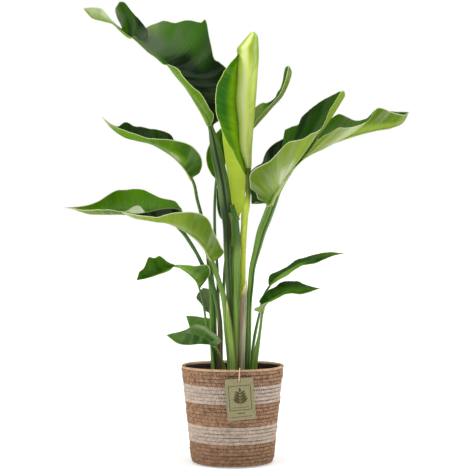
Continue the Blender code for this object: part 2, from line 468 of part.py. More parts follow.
def half_blade(leaf, side, places, rows, out):
    """Points of one half: rows along the leaf, columns from the midrib to the margin."""
    middle, along, up = rows
    sign = 1 if side == "right" else -1
    across = np.cross(along, up)
    width = leaf["widths"][side == "right"] * half_width(
        places, leaf["peak"], leaf.get("base", 0.5), leaf.get("fall", 0.95))
    if "tear_" + side in leaf:
        place, reach, depth = leaf["tear_" + side]
        width = width * (1 - depth * np.exp(-((places - place) / reach) ** 2))
    keys = np.radians(eased(leaf[side], places))
    first = keys[:, :1] + (keys[:, 1:2] - keys[:, :1]) * out * 2
    second = keys[:, 1:2] + (keys[:, 2:] - keys[:, 1:2]) * (out * 2 - 1)
    angle = np.where(out < 0.5, first, second)
    angle = (angle[:, 1:] + angle[:, :-1]) / 2
    start = np.zeros((len(places), 1))
    level = np.hstack([start, np.cumsum(np.cos(angle), axis=1)]) / (len(out) - 1)
    rise = np.hstack([start, np.cumsum(np.sin(angle), axis=1)]) / (len(out) - 1)
    sweep = eased(leaf.get("sweep_" + side, ((0, -0.25), (0.2, 0.1), (1, 0.35))), places)
    lean = sweep * out ** 1.3
    offset = (sign * level[:, :, None] * across[:, None] + rise[:, :, None] * up[:, None]
              + lean[:, :, None] * along[:, None])
    return middle[:, None] + width[:, None, None] * offset


def rolled_points(leaf):
    """The open surface of the rolled leaf: columns run from the left margin to the right one."""
    length_steps, half_steps = leaf["grid"]
    even = np.linspace(0, 1, length_steps + 1)
    places = 0.004 + 0.994 * (0.25 * (1 - np.cos(math.pi * even)) + 0.5 * even)
    middle = smooth_route(leaf["midrib"], places)
    ahead = smooth_route(leaf["midrib"], np.clip(places + 0.01, 0, 1))
    behind = smooth_route(leaf["midrib"], np.clip(places - 0.01, 0, 1))
    along = unit(ahead - behind)
    up = eased(leaf["up"], places)
    up = unit(up - np.sum(up * along, axis=1)[:, None] * along)
    out = np.linspace(0, 1, half_steps + 1)
    rows = (middle, along, up)
    left = half_blade(leaf, "left", places, rows, out)
    right = half_blade(leaf, "right", places, rows, out)
    return np.concatenate([left[:, :0:-1], right], axis=1)


def keyed(keys, places):
    """A smooth curve through keys of (place, x, y, z), read at other places."""
    table = np.array(keys, float)
    if len(table) == 1:
        return np.repeat(table[:, 1:], len(places), axis=0)
    at, value = table[:, 0], table[:, 1:]
    gap = np.diff(at)[:, None]
    slope = np.diff(value, axis=0) / gap
    inner = (slope[:-1] * gap[1:] + slope[1:] * gap[:-1]) / (gap[1:] + gap[:-1])
    pull = np.vstack([slope[:1], inner, slope[-1:]])
    low = np.clip(np.searchsorted(at, places, side="right") - 1, 0, len(at) - 2)
    run = gap[low]
    u = (places - at[low])[:, None] / run
    return ((2 * u ** 3 - 3 * u ** 2 + 1) * value[low] + (u ** 3 - 2 * u ** 2 + u) * run * pull[low]
            + (3 * u ** 2 - 2 * u ** 3) * value[low + 1] + (u ** 3 - u ** 2) * run * pull[low + 1])


def blade_points(leaf):
    """The open surface of a blade in metres: columns run from the left margin to the right one."""
    places = np.array(leaf["rows"], float)
    out = np.linspace(0, 1, leaf["half"] + 1)[None, :, None]
    middle = keyed(leaf["midrib"], places)
    halves = []
    for side in ("left", "right"):
        margin = keyed(leaf[side], places)
        belly = keyed(leaf.get(side + "_belly", ((0, 0, 0, 0),)), places)
        halves.append(middle[:, None] + out * (margin - middle)[:, None]
                      + np.sin(math.pi * out) * belly[:, None])
    return np.concatenate([halves[0][:, :0:-1], halves[1]], axis=1) / 1000


def sheet_mesh(name, points):
    """An open mesh over a grid of points."""
    rows, columns = points.shape[:2]
    faces = [(r * columns + c, r * columns + c + 1, (r + 1) * columns + c + 1, (r + 1) * columns + c)
             for r in range(rows - 1) for c in range(columns - 1)]
    mesh = bpy.data.meshes.new(name)
    mesh.from_pydata(points.reshape(-1, 3).tolist(), [], faces)
    mesh.shade_smooth()
    return mesh


def add_sheet(name, points, finish_name, collection):
    """A thin closed leaf or sheath: the open sheet, thickened evenly to both sides."""
    made = add_object(name, sheet_mesh(name, points), finish_name, collection)
    thicken = made.modifiers.new("thickness", "SOLIDIFY")
    thicken.thickness = LEAF_THICK
    thicken.offset = 0.0
    return made


def add_rod(name, points, radii, finish_name, collection, steps, sides_setting=2):
    """A round, tapering rod along a smooth route, with one radius for each point of it."""
    places = np.linspace(0, 1, steps + 1)
    route = smooth_route(points, places)
    run = np.concatenate([[0], np.cumsum(np.linalg.norm(np.diff(points, axis=0), axis=1))])
    thickness = np.interp(places, run / run[-1], radii)
    curve = bpy.data.curves.new(name, "CURVE")
    curve.dimensions = "3D"
    curve.bevel_depth = max(radii)
    curve.bevel_resolution = sides_setting
    curve.use_fill_caps = True
    spline = curve.splines.new("POLY")
    spline.points.add(steps)
    for point, place, radius in zip(spline.points, route, thickness):
        point.co = (*place, 1.0)
        point.radius = radius / max(radii)
    return add_object(name, curve, finish_name, collection)


def add_stalk(name, keys, collection):
    """A stalk from its blade down to the soil, where it ends in a short upright foot."""
    table = np.array(keys, float) / 1000
    across, back, _, radius = table[-1]
    foot = [(across, back, STALK_FOOT + STALK_FOOT_RUN, radius), (across, back, STALK_FOOT, radius)]
    table = np.vstack([table[:-1], foot])
    add_rod(name, table[:, :3], table[:, 3], "stalk", collection, steps=STALK_STEPS.get(name, 12))


def add_turned(name, profile, finish_name, collection):
    """A turned solid from an outline of (radius, height), down its outer side first.

    An outline that starts and ends on the axis stays open there, and any other one is closed.
    The pot's own outline starts inside, and so still passes its outer side from top to bottom.
    """
    mesh = bpy.data.meshes.new(name)
    edges = [(i, i + 1) for i in range(len(profile) - 1)]
    if profile[0][0] > 0:
        edges.append((len(profile) - 1, 0))
    mesh.from_pydata([(radius, 0.0, height) for radius, height in profile], edges, [])
    made = add_object(name, mesh, finish_name, collection)
    turn = made.modifiers.new("turn", "SCREW")
    turn.steps = ROUND_STEPS
    turn.render_steps = ROUND_STEPS
    turn.use_merge_vertices = True
    turn.merge_threshold = 0.00005
    turn.use_smooth_shade = True
    return made


def basket_radius(height):
    """The basket's outer radius at a height: a straight flare above a rounded foot."""
    slope = (BASKET_RIM_RADIUS - BASKET_BASE_RADIUS) / BASKET_HEIGHT
    radius = BASKET_BASE_RADIUS + slope * height
    if height >= BASKET_CORNER:
        return radius
    drop = BASKET_CORNER - height
    return radius - BASKET_CORNER + math.sqrt(BASKET_CORNER ** 2 - drop ** 2)


def add_basket(collection):
    """The plaited basket: a coiled floor, five bands of rows, and the binding round the rim."""
    add_turned("basket_floor", ((0, FLOOR_THICK), (FLOOR_RADIUS, FLOOR_THICK), (FLOOR_RADIUS, 0), (0, 0)),
               "natural", collection)
    low = 0.0
    for name, rows, finish_name in BAND_ROWS:
        is_lowest = low == 0.0
        high = (FIRST_ROW_Z if is_lowest else low) + rows * BASKET_ROW
        foot = 0.0 if is_lowest else low + GAP
        if is_lowest:
            outer = [(basket_radius(z), z) for z in (high, BASKET_CORNER, BASKET_CORNER * 0.3, 0.0)]
            inner = [(FLOOR_RADIUS + GAP, 0.0), (FLOOR_RADIUS + GAP, FLOOR_THICK),
                     (basket_radius(high) - BASKET_WALL, high)]
        else:
            outer = [(basket_radius(high), high), (basket_radius(foot), foot)]
            inner = [(basket_radius(foot) - BASKET_WALL, foot), (basket_radius(high) - BASKET_WALL, high)]
        add_turned(name, outer + inner, finish_name, collection)
        low = high
    foot = low + GAP
    middle = basket_radius(BASKET_HEIGHT) - BASKET_WALL / 2
    half = BASKET_WALL / 2
    waist = (BASKET_HEIGHT + foot) / 2
    outer = [(middle + 0.6 * half, BASKET_HEIGHT), (middle + half, waist), (middle + 0.8 * half, foot)]
    inner = [(middle - 0.8 * half, foot), (middle - half, waist), (middle - 0.6 * half, BASKET_HEIGHT)]
    add_turned("basket_rim", outer + inner, "natural", collection)


def pot_radius(height):
    """The pot's outer radius at a height above its own base."""
    return POT_BASE_RADIUS + (POT_TOP_RADIUS - POT_BASE_RADIUS) * height / POT_HEIGHT


def add_pot(collection, cutters):
    """The thin nursery pot that stands on the basket's floor, with holes to drain it."""
    foot = FLOOR_THICK + GAP
    top = foot + POT_HEIGHT
    lip = POT_TOP_RADIUS + POT_LIP
    inside = ((0, foot + POT_WALL), (POT_BASE_RADIUS - POT_WALL, foot + POT_WALL),
              (POT_TOP_RADIUS - POT_WALL, top))
    folded_lip = ((lip, top), (lip, top - POT_LIP_HEIGHT), (lip - POT_WALL, top - POT_LIP_HEIGHT),
                  (lip - POT_WALL, top - POT_WALL))
    outside = ((POT_TOP_RADIUS, top - POT_WALL), (POT_BASE_RADIUS, foot), (0, foot))
    pot = add_turned("nursery_pot", inside + folded_lip + outside, "pot", collection)
    for i in range(DRAIN_HOLES):
        around = 2 * math.pi * (i + 0.5) / DRAIN_HOLES
        bpy.ops.mesh.primitive_cylinder_add(
            vertices=10, radius=DRAIN_HOLE_RADIUS, depth=DRAIN_CUT,
            location=(DRAIN_HOLE_RING * math.cos(around), DRAIN_HOLE_RING * math.sin(around), foot))
        cutter = bpy.context.object
        cutter.name = f"drain_cutter_{i + 1}"
        hide_cutter(cutter, cutters)
        cut = pot.modifiers.new(f"drain_{i + 1}", "BOOLEAN")
        cut.operation = "DIFFERENCE"
        cut.object = cutter


def add_soil(collection):
    """The soil fills the pot to a little below its lip."""
    foot = FLOOR_THICK + GAP + POT_WALL + GAP
    clear = POT_WALL + 2 * GAP
    low = pot_radius(foot - FLOOR_THICK) - clear
    high = pot_radius(SOIL_TOP - FLOOR_THICK) - clear
    add_turned("soil", ((0, SOIL_TOP), (high, SOIL_TOP), (low, foot), (0, foot)), "soil", collection)


def add_sheath(collection):
    """The dry papery sheath in front of the spear's stalk: half a tube that narrows to a pale tip."""
    places = np.linspace(0, 1, 7)
    middle = smooth_route(SHEATH_MIDRIB, places)
    width = SHEATH_WIDTH * (1 - 0.85 * places ** 3)
    turn = np.radians(np.linspace(-62, 62, 5))
    points = [[(x + w * math.sin(a), y + w * (1 - math.cos(a)), z) for a in turn]
              for (x, y, z), w in zip(middle, width)]
    add_sheet("dry_sheath", np.array(points), "dry_sheath", collection)


def add_tag(collection, cutters):
    """The card tag leans on the basket's front, with one round hole for its twine."""
    bpy.ops.mesh.primitive_cube_add(size=1)
    tag = bpy.context.object
    tag.name = "hang_tag"
    tag.data.transform(Matrix.Diagonal((TAG_WIDTH, TAG_THICK, TAG_HEIGHT, 1)))
    tag.data.materials.append(finish("card"))
    move_to(tag, collection)
    bpy.ops.mesh.primitive_cylinder_add(vertices=12, radius=TAG_HOLE_RADIUS, depth=TAG_HOLE_CUT)
    cutter = bpy.context.object
    cutter.name = "tag_hole_cutter"
    cutter.data.transform(Matrix.Rotation(math.pi / 2, 4, "X"))
    cutter.data.transform(Matrix.Translation((0, 0, TAG_HEIGHT / 2 - TAG_HOLE_DOWN)))
    cutter.parent = tag
    hide_cutter(cutter, cutters)
    tag.location = TAG_CENTRE
    tag.rotation_euler = (TAG_TILT, TAG_ROLL, TAG_TURN)
    cut = tag.modifiers.new("hole", "BOOLEAN")
    cut.operation = "DIFFERENCE"
    cut.object = cutter


def add_twine(collection):
    """The twine goes over the rim, down to the card, through its hole and up behind it."""
    radii = [TWINE_RADIUS] * len(TWINE_ROUTE)
    add_rod("tag_string", TWINE_ROUTE, radii, "twine", collection, steps=22)


def main():
    clear_scene()
    plant = new_collection("potted_bird_of_paradise")
    cutters = new_collection("cutters")
    add_basket(plant)
    add_pot(plant, cutters)
    add_soil(plant)
    for name, leaf in BLADES.items():
        add_sheet(name, blade_points(leaf), leaf.get("finish", "leaf"), plant)
    for name, leaf in ROLLED.items():
        add_sheet(name, rolled_points(leaf), "young_leaf", plant)
    for name, keys in STALKS.items():
        add_stalk(name, keys, plant)
    add_sheath(plant)
    add_tag(plant, cutters)
    add_twine(plant)


main()
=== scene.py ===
# %% [markdown]
# # A potted bird of paradise in a plaited basket
# The real thing is a young plant as a shop sells it: big paddle leaves on long stalks, one young
# leaf still rolled up, a black nursery pot, and a striped basket of plaited jute with a card tag.
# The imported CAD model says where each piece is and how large. This lesson puts a finely modelled
# piece round each of its plain solids, and gives every surface a finish made only from nodes.

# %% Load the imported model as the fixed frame
import math

import bmesh
import bpy
import numpy as np
from mathutils import Matrix, Vector


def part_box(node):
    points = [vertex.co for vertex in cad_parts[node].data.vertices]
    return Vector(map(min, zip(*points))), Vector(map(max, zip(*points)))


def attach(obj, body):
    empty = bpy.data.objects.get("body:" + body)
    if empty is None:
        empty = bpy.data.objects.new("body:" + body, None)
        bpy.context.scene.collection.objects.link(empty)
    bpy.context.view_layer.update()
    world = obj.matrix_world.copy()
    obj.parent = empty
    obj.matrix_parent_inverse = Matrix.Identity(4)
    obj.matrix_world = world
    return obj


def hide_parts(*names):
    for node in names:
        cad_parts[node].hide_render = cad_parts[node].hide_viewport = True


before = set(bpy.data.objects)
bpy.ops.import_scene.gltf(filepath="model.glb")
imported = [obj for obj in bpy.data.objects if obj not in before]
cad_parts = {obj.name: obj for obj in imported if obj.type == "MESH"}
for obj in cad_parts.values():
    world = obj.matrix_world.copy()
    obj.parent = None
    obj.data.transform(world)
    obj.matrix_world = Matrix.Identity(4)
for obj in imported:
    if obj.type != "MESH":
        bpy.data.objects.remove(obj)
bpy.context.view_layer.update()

# %% [markdown]
# ## Camera
# A plant catalogue shows the plant level, from well back, so that upright stalks stay upright.
# A long lens from 2.7 m does that. The camera sits at half the plant's height and isn't tilted.

# %% Camera
scene = bpy.context.scene
CAMERA_BACK = 2.667
camera_data = bpy.data.cameras.new("catalogue_camera")
camera_data.lens = 100
camera_data.sensor_width = 36
catalogue_camera = bpy.data.objects.new("catalogue_camera", camera_data)
catalogue_camera.location = (0.0051, -CAMERA_BACK, 0.463)
catalogue_camera.rotation_euler = (math.radians(90), 0, 0)
scene.collection.objects.link(catalogue_camera)
scene.camera = catalogue_camera
print("lens", camera_data.lens, "mm at", CAMERA_BACK, "m")

# %% [markdown]
# ## The room
# A plant on a pure white ground still needs light and dark sides. Two things give that. The sky is
# white where the camera looks at it and grey where it only lights things. Three very broad suns,
# as from large soft boxes, come from the left, the right and above. They fall off nowhere, so the
# white floor stays even and no horizon shows.

# %% Floor, sky and lamps
FLOOR_REACH = 40
SKY_LIGHT, SKY_SEEN = 0.3, 1.0


def pale_floor():
    """A wide disc under the basket."""
    turn = np.linspace(0, 2 * math.pi, 97)[:-1]
    rim = [(FLOOR_REACH * math.cos(a), FLOOR_REACH * math.sin(a), 0) for a in turn]
    mesh = bpy.data.meshes.new("studio_floor")
    mesh.from_pydata(rim, [], [list(range(len(rim)))])
    return bpy.data.objects.new("studio_floor", mesh)


def soft_box(name, from_way, strength, spread=40, tint=(1, 1, 1)):
    """Even light from one side, as wide as the spread in degrees."""
    data = bpy.data.lights.new(name, "SUN")
    data.angle = math.radians(spread)
    data.energy = strength
    data.color = tint
    lamp = bpy.data.objects.new(name, data)
    lamp.location = Vector(from_way) * 2
    lamp.rotation_euler = Vector(from_way).to_track_quat("Z", "Y").to_euler()
    scene.collection.objects.link(lamp)
    return lamp


studio_floor = pale_floor()
scene.collection.objects.link(studio_floor)
soft_box("soft_box_left", (-1.0, -0.26, 0.45), 2.05, 40, (1, 0.99, 0.97))
soft_box("soft_box_right", (1.0, -0.2, 0.4), 1.55, 40)
soft_box("soft_box_above", (0.05, -0.1, 1.0), 1.6, 50)

sky = bpy.data.worlds.new("studio_sky")
sky.use_nodes = True
sky_tree = sky.node_tree
sky_shader = sky_tree.nodes["Background"]
sky_shader.inputs["Color"].default_value = (1, 1, 1, 1)
seen = sky_tree.nodes.new("ShaderNodeLightPath")
sky_share = sky_tree.nodes.new("ShaderNodeMapRange")
sky_share.inputs["To Min"].default_value = SKY_LIGHT
sky_share.inputs["To Max"].default_value = SKY_SEEN
sky_tree.links.new(seen.outputs["Is Camera Ray"], sky_share.inputs["Value"])
sky_tree.links.new(sky_share.outputs["Result"], sky_shader.inputs["Strength"])
scene.world = sky
scene.view_settings.view_transform = "Standard"

# %% [markdown]
# ## Node helpers
# A finish is a small tree of nodes round one Principled shader. These helpers keep each finish
# short to read: one mixes two colours, one makes a bump, one draws noise out along a surface.

# %% Helpers for finishes
def paint(red, green, blue):
    """A colour from the 0 to 255 values that a paint card gives, made linear for the shader."""
    part = [v / 255 for v in (red, green, blue)]
    return tuple(v / 12.92 if v <= 0.04045 else ((v + 0.055) / 1.055) ** 2.4 for v in part) + (1,)


class Finish:
    """A new material with its Principled shader, and short ways to add nodes to it."""

    def __init__(self, name, roughness=0.5, specular=0.5):
        self.material = bpy.data.materials.new(name)
        self.material.use_nodes = True
        self.tree = self.material.node_tree
        self.shader = self.tree.nodes["Principled BSDF"]
        self.shader.inputs["Roughness"].default_value = roughness
        self.shader.inputs["Specular IOR Level"].default_value = specular

    def join(self, source, socket):
        """A socket gets a link from another one, or a plain value."""
        if isinstance(source, bpy.types.NodeSocket):
            self.tree.links.new(source, socket)
        else:
            socket.default_value = source

    def add(self, kind, *sources, operation=None, **named):
        """A new node of this kind. Its inputs are joined in their order, or by name."""
        node = self.tree.nodes.new("ShaderNode" + kind)
        if operation:
            node.operation = operation
        for source, socket in zip(sources, node.inputs):
            self.join(source, socket)
        for key, source in named.items():
            self.join(source, node.inputs[key])
        return node

    def place(self, *, scale=(1, 1, 1)):
        """Coordinates in metres in the object's frame, scaled per axis."""
        spot = self.add("TexCoord").outputs["Object"]
        return self.add("Mapping", Vector=spot, Scale=scale).outputs["Vector"]

    def held(self, name):
        """The value that the mesh holds at each point under this name."""
        node = self.add("Attribute")
        node.attribute_name = name
        return node.outputs["Fac"]

    def sums(self, operation, first, second=0.0, third=0.0):
        """One step of arithmetic."""
        return self.add("Math", first, second, third, operation=operation).outputs["Value"]

    def height(self):
        """How far a point is above the floor, in metres."""
        return self.add("SeparateXYZ", self.place()).outputs["Z"]

    def from_vectors(self, operation, first, second):
        """One value from two vectors, such as their distance."""
        return self.add("VectorMath", first, second, operation=operation).outputs["Value"]

    def noise(self, where, scale, detail=3, rough=0.5):
        """Soft random values round 0.5."""
        node = self.add("TexNoise", Vector=where, Scale=scale, Detail=detail, Roughness=rough)
        return node.outputs["Fac"]

    def drawn_out(self, *parts, shift=0.0, scale=1.0, detail=3, rough=0.5):
        """Noise drawn out along a surface. Each part is a held value and its number of repeats."""
        sides = [self.sums("MULTIPLY", value, repeats) for value, repeats in parts] + [shift]
        return self.noise(self.add("CombineXYZ", *sides).outputs["Vector"], scale, detail, rough)

    def span(self, value, low, high, to_low=0.0, to_high=1.0):
        """The value moved from one range to another, smoothly, and kept inside it."""
        node = self.add("MapRange", value, low, high, to_low, to_high)
        node.interpolation_type = "SMOOTHSTEP"
        return node.outputs["Result"]

    def mix(self, share, first, second):
        """Two colours mixed by a share. Each is a socket, or 0 to 255 values for red, green and blue."""
        node = self.add("Mix", share)
        node.data_type = "RGBA"
        for colour, socket in ((first, node.inputs[6]), (second, node.inputs[7])):
            self.join(colour if isinstance(colour, bpy.types.NodeSocket) else paint(*colour), socket)
        return node.outputs[2]

    def bump(self, height, strength, reach):
        """Small relief in the shading from a height."""
        node = self.add("Bump", Strength=strength, Distance=reach, Height=height)
        self.join(node.outputs["Normal"], self.shader.inputs["Normal"])

    def colour(self, value):
        self.join(value, self.shader.inputs["Base Color"])

    def rough(self, value):
        self.join(value, self.shader.inputs["Roughness"])

    def let_light_through(self, tint, share):
        """A thin leaf passes some of the light that falls on its other side."""
        glow = self.add("BsdfTranslucent", tint).outputs["BSDF"]
        blend = self.add("MixShader", share, self.shader.outputs["BSDF"], glow).outputs["Shader"]
        self.join(blend, self.tree.nodes["Material Output"].inputs["Surface"])


def flecked(name, roughness, specular, grain, first, second, span=None, bump=None, scale=(1, 1, 1)):
    """A finish flecked with two colours. grain is the noise's scale, detail and roughness. span
    sharpens the flecks, and bump is the strength and reach of their relief."""
    finish = Finish(name, roughness, specular)
    fleck = finish.noise(finish.place(scale=scale), *grain)
    finish.colour(finish.mix(finish.span(fleck, *span) if span else fleck, first, second))
    if bump:
        finish.bump(fleck, *bump)
    return finish


floor_finish = flecked("floor_paint", 0.6, 0.2, (3.0,), (244, 244, 243), (250, 250, 250))
# A faint glow of its own keeps the floor white under the basket's shadow, as a lit table does.
floor_finish.shader.inputs["Emission Color"].default_value = (1, 1, 1, 1)
floor_finish.shader.inputs["Emission Strength"].default_value = 0.35
studio_floor.data.materials.append(floor_finish.material)

# %% [markdown]
# ## Curves and meshes for leaves
# A leaf blade is drawn the way a pattern cutter would: a curve for the midrib, and one for each
# margin, as keys of (place along the leaf, x, y, z) in millimetres. Place 0 is the stalk's end
# and place 1000 the tip. Rows run from the midrib out to the margin, which is also how the veins of
# this plant run. A key curve may turn sharply where a blade is torn or curled.

# %% Curves through keys, and routes
MM = 0.001


def through(keys, places):
    """The values at these places of a smooth curve through keys of (place, value, ...)."""
    table = np.array(keys, float)
    at, value = table[:, 0], table[:, 1:]
    step = np.diff(at)
    slope = np.diff(value, axis=0) / step[:, None]
    lean = np.vstack([slope[:1], (slope[:-1] * step[1:, None] + slope[1:] * step[:-1, None])
                      / (step[1:] + step[:-1])[:, None], slope[-1:]])
    low = np.clip(np.searchsorted(at, places, side="right") - 1, 0, len(at) - 2)
    gap = step[low][:, None]
    u = (places - at[low])[:, None] / gap
    return ((2 * u ** 3 - 3 * u ** 2 + 1) * value[low] + (u ** 3 - 2 * u ** 2 + u) * gap * lean[low]
            + (3 * u ** 2 - 2 * u ** 3) * value[low + 1] + (u ** 3 - u ** 2) * gap * lean[low + 1])


def unit(rows):
    """Each vector with length 1."""
    return rows / np.maximum(np.linalg.norm(rows, axis=-1, keepdims=True), 1e-12)


def lengths(route):
    """How far along a route each of its points is."""
    return np.concatenate([[0], np.cumsum(np.linalg.norm(np.diff(route, axis=0), axis=1))])


def round_turn(sides):
    """Angles evenly round a circle, in radians."""
    return np.linspace(0, 2 * math.pi, sides + 1)[:-1]


def grid_normals(points):
    """The direction that each point of a grid of rows and columns faces."""
    down = np.gradient(points, axis=0)
    across = np.gradient(points, axis=1)
    return unit(np.cross(across, down))


def quads(*corners):
    """Four-sided faces from four grids of point numbers."""
    return np.stack(corners, axis=-1).reshape(-1, 4)


def new_mesh(name, points, faces, finishes=(), smooth=True, slots=None, held=None):
    """A mesh from lists of points and faces. finishes are its materials, slots say which of them
    each face has, and held gives the values that the points hold."""
    mesh = bpy.data.meshes.new(name)
    mesh.from_pydata(points, [], faces)
    mesh.polygons.foreach_set("use_smooth", np.full(len(faces), smooth))
    if slots is not None:
        mesh.polygons.foreach_set("material_index", slots)
    for key, value in (held or {}).items():
        mesh.attributes.new(key, "FLOAT", "POINT").data.foreach_set("value", value.astype(np.float32))
    for finish in finishes:
        mesh.materials.append(finish)
    mesh.update()
    return mesh

# %% [markdown]
# A blade needs two faces that look different: a dark glossy top and a pale matt underside. So the
# grid is copied to both sides of a thin middle, and a narrow wall joins the two copies at every
# open edge, slits too. Each point also holds a few distances, which the finishes read: its place
# along the leaf, how far it is from the rib, and how far from the margin.

# %% Thin closed sheets with two faces
SHARP = math.radians(55)


def thin_sheet(name, points, thick, held, finishes, keep=None):
    """A closed sheet round a grid: face up, face down, and the wall at its edges.
    finishes are the materials of those three. keep says which cells of the grid are there."""
    rows, columns = points.shape[:2]
    index = np.arange(rows * columns).reshape(rows, columns)
    cells = quads(index[:-1, :-1], index[:-1, 1:], index[1:, 1:], index[1:, :-1])
    if keep is not None:
        cells = cells[keep.reshape(-1)]
    half = grid_normals(points) * np.broadcast_to(thick, points.shape[:2])[:, :, None] / 2
    count = rows * columns
    top = points.reshape(-1, 3) + half.reshape(-1, 3)
    under = points.reshape(-1, 3) - half.reshape(-1, 3)
    ends = np.concatenate([cells[:, [k, (k + 1) % 4]] for k in range(4)])
    low, high = ends.min(axis=1), ends.max(axis=1)
    _, first, times = np.unique(low * count + high, return_index=True, return_counts=True)
    open_ends = ends[first[times == 1]]
    wall = quads(open_ends[:, 1], open_ends[:, 0], open_ends[:, 0] + count, open_ends[:, 1] + count)
    faces = np.concatenate([cells, cells[:, ::-1] + count, wall])
    slots = np.repeat([0, 1, 2], [len(cells), len(cells), len(wall)])
    every = np.concatenate([top, under])
    used = np.unique(faces)
    renumber = np.zeros(len(every), int)
    renumber[used] = np.arange(len(used))
    both = {key: np.tile(np.broadcast_to(value, (rows, columns)).reshape(-1), 2)[used]
            for key, value in held.items()}
    mesh = new_mesh(name, every[used].tolist(), renumber[faces].tolist(), finishes, slots=slots, held=both)
    mesh.set_sharp_from_angle(angle=SHARP)
    return mesh

# %% [markdown]
# Stalks and ribs are round in section, thick at the foot and thin at the top, with a groove along
# the side that faced the plant's middle when the leaf unrolled. A swept ring makes them all. Its
# frame is carried along the route without twisting, so that the groove stays on one side.

# %% Swept rods
def swept_rod(name, route, radii, finish, groove=(0.31, -0.9, 0.12), depth=0.0, sides=20):
    """A rod along route with these radii. groove is the way its channel faces, and depth how deep
    that is, as a part of the radius."""
    side = np.array(groove, float)
    turn = round_turn(sides)
    from_groove = (turn + math.pi) % (2 * math.pi) - math.pi
    section = 1 - depth * np.exp(-(from_groove / 0.55) ** 2)
    rings = []
    for spot, ahead, radius in zip(route, unit(np.gradient(route, axis=0)), radii):
        side = side - ahead * (side @ ahead)
        side = side / np.linalg.norm(side)
        other = np.cross(ahead, side)
        reach = radius * section
        rings.append(spot + (reach * np.cos(turn))[:, None] * side + (reach * np.sin(turn))[:, None] * other)
    rings = np.array(rings)
    rows = len(rings)
    index = np.arange(rows * sides).reshape(rows, sides)
    after = np.roll(index, -1, axis=1)
    faces = quads(index[:-1], after[:-1], after[1:], index[1:]).tolist()
    faces += [index[0][::-1].tolist(), index[-1].tolist()]
    held = {"rod_place": np.repeat(lengths(route), sides), "rod_cos": np.tile(np.cos(turn), rows),
            "rod_sin": np.tile(np.sin(turn), rows)}
    return new_mesh(name, rings.reshape(-1, 3).tolist(), faces, (finish,), held=held)


def show(name, mesh, slot_name, *nodes):
    """The mesh as a piece of the plant, which rides on the root body and stands for these nodes."""
    piece = bpy.data.objects.new(name, mesh)
    scene.collection.objects.link(piece)
    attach(piece, "root")
    if nodes:
        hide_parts(*nodes)
    return piece


def joined(name, meshes):
    """Several meshes as one, with their materials kept."""
    parts = [bpy.data.objects.new(name + "_part", mesh) for mesh in meshes]
    for part in parts:
        scene.collection.objects.link(part)
    with bpy.context.temp_override(active_object=parts[0], selected_editable_objects=parts):
        bpy.ops.object.join()
    mesh = parts[0].data
    bpy.data.objects.remove(parts[0])
    mesh.name = name
    return mesh


def triangles(mesh):
    """The number of triangles of a mesh, to print."""
    return sum(len(p.vertices) - 2 for p in mesh.polygons)

# %% [markdown]
# ## Leaf finishes
# A mature leaf is dark and glossy above, pale and matt below, with a light line along the rib and
# the margin. Its veins leave the rib side by side and run straight to the margin, so the colour
# and the relief are noise drawn out long in that direction. The mesh holds where each point is.

# %% Leaf finishes
MARGIN_FADE = (0.0009, 0.0021)


def leaf_face(name, dark, light, vein, edge, sheen, roughness, specular, glow, relief, rib_reach=1.0,
              sheen_share=0.3, sheen_spots=()):
    """One face of a leaf: streaked between dark and light, with the rib and margin in colours of their own.
    The sheen is a greyish painted sheen in streaks along the veins. Each sheen spot is x, z and a
    reach in metres, where the painted sheen is thick."""
    finish = Finish(name, roughness, specular)
    run, gap = finish.held("vein_run"), finish.held("rib_gap")
    thin = finish.drawn_out((run, 330.0), (gap, 12.0), detail=4, rough=0.6)
    wide = finish.drawn_out((run, 70.0), (gap, 8.0), shift=3.7)
    patches = finish.noise(finish.place(), 14.0, 3)
    share = finish.sums("MULTIPLY_ADD", wide, 0.4, finish.sums("MULTIPLY_ADD", patches, 0.5, -0.45))
    # The held tone is partly the leaf's own colour and partly painted light and shade.
    tone_and_light = finish.sums("ADD", finish.held("tone_and_light"), share)
    body = finish.mix(finish.span(tone_and_light, 0.0, 1.0), dark, light)
    # A tone above 1.1 turns to the margin colour, as a pale painted highlight.
    body = finish.mix(finish.span(tone_and_light, 1.1, 2.0), body, edge)
    # The painted sheen: greyish streaks along the veins, thick at each sheen spot.
    sheen_mask = finish.drawn_out((run, 46.0), (gap, 9.0), shift=8.1, detail=2)
    sheen_mask = finish.sums("MULTIPLY", finish.span(sheen_mask, 0.46, 0.68), sheen_share)
    for x, z, reach in sheen_spots:
        away = finish.from_vectors("DISTANCE", finish.place(scale=(1, 0, 1)), (x, 0, z))
        sheen_mask = finish.sums("MAXIMUM", sheen_mask, finish.span(away, 0.2 * reach, reach, 0.8, 0))
    body = finish.mix(sheen_mask, body, sheen)
    body = finish.mix(finish.sums("MULTIPLY", finish.span(thin, 0.54, 0.74), 0.16), body, vein)
    near_rib = finish.span(finish.held("rib_side"), 0.55 * rib_reach, 1.1 * rib_reach, 1, 0)
    body = finish.mix(near_rib, body, vein)
    near_edge = finish.span(finish.held("margin_gap"), *MARGIN_FADE, 1, 0)
    finish.colour(finish.mix(near_edge, body, edge))
    finish.rough(finish.span(wide, 0.3, 0.7, roughness - 0.05, roughness + 0.07))
    finish.bump(finish.sums("MULTIPLY_ADD", wide, 0.6, thin), relief, 0.0007)
    finish.let_light_through(body, glow)
    return finish.material


leaf_edge = flecked("leaf_edge", 0.5, 0.3, (60,), (150, 172, 92), (182, 196, 126)).material
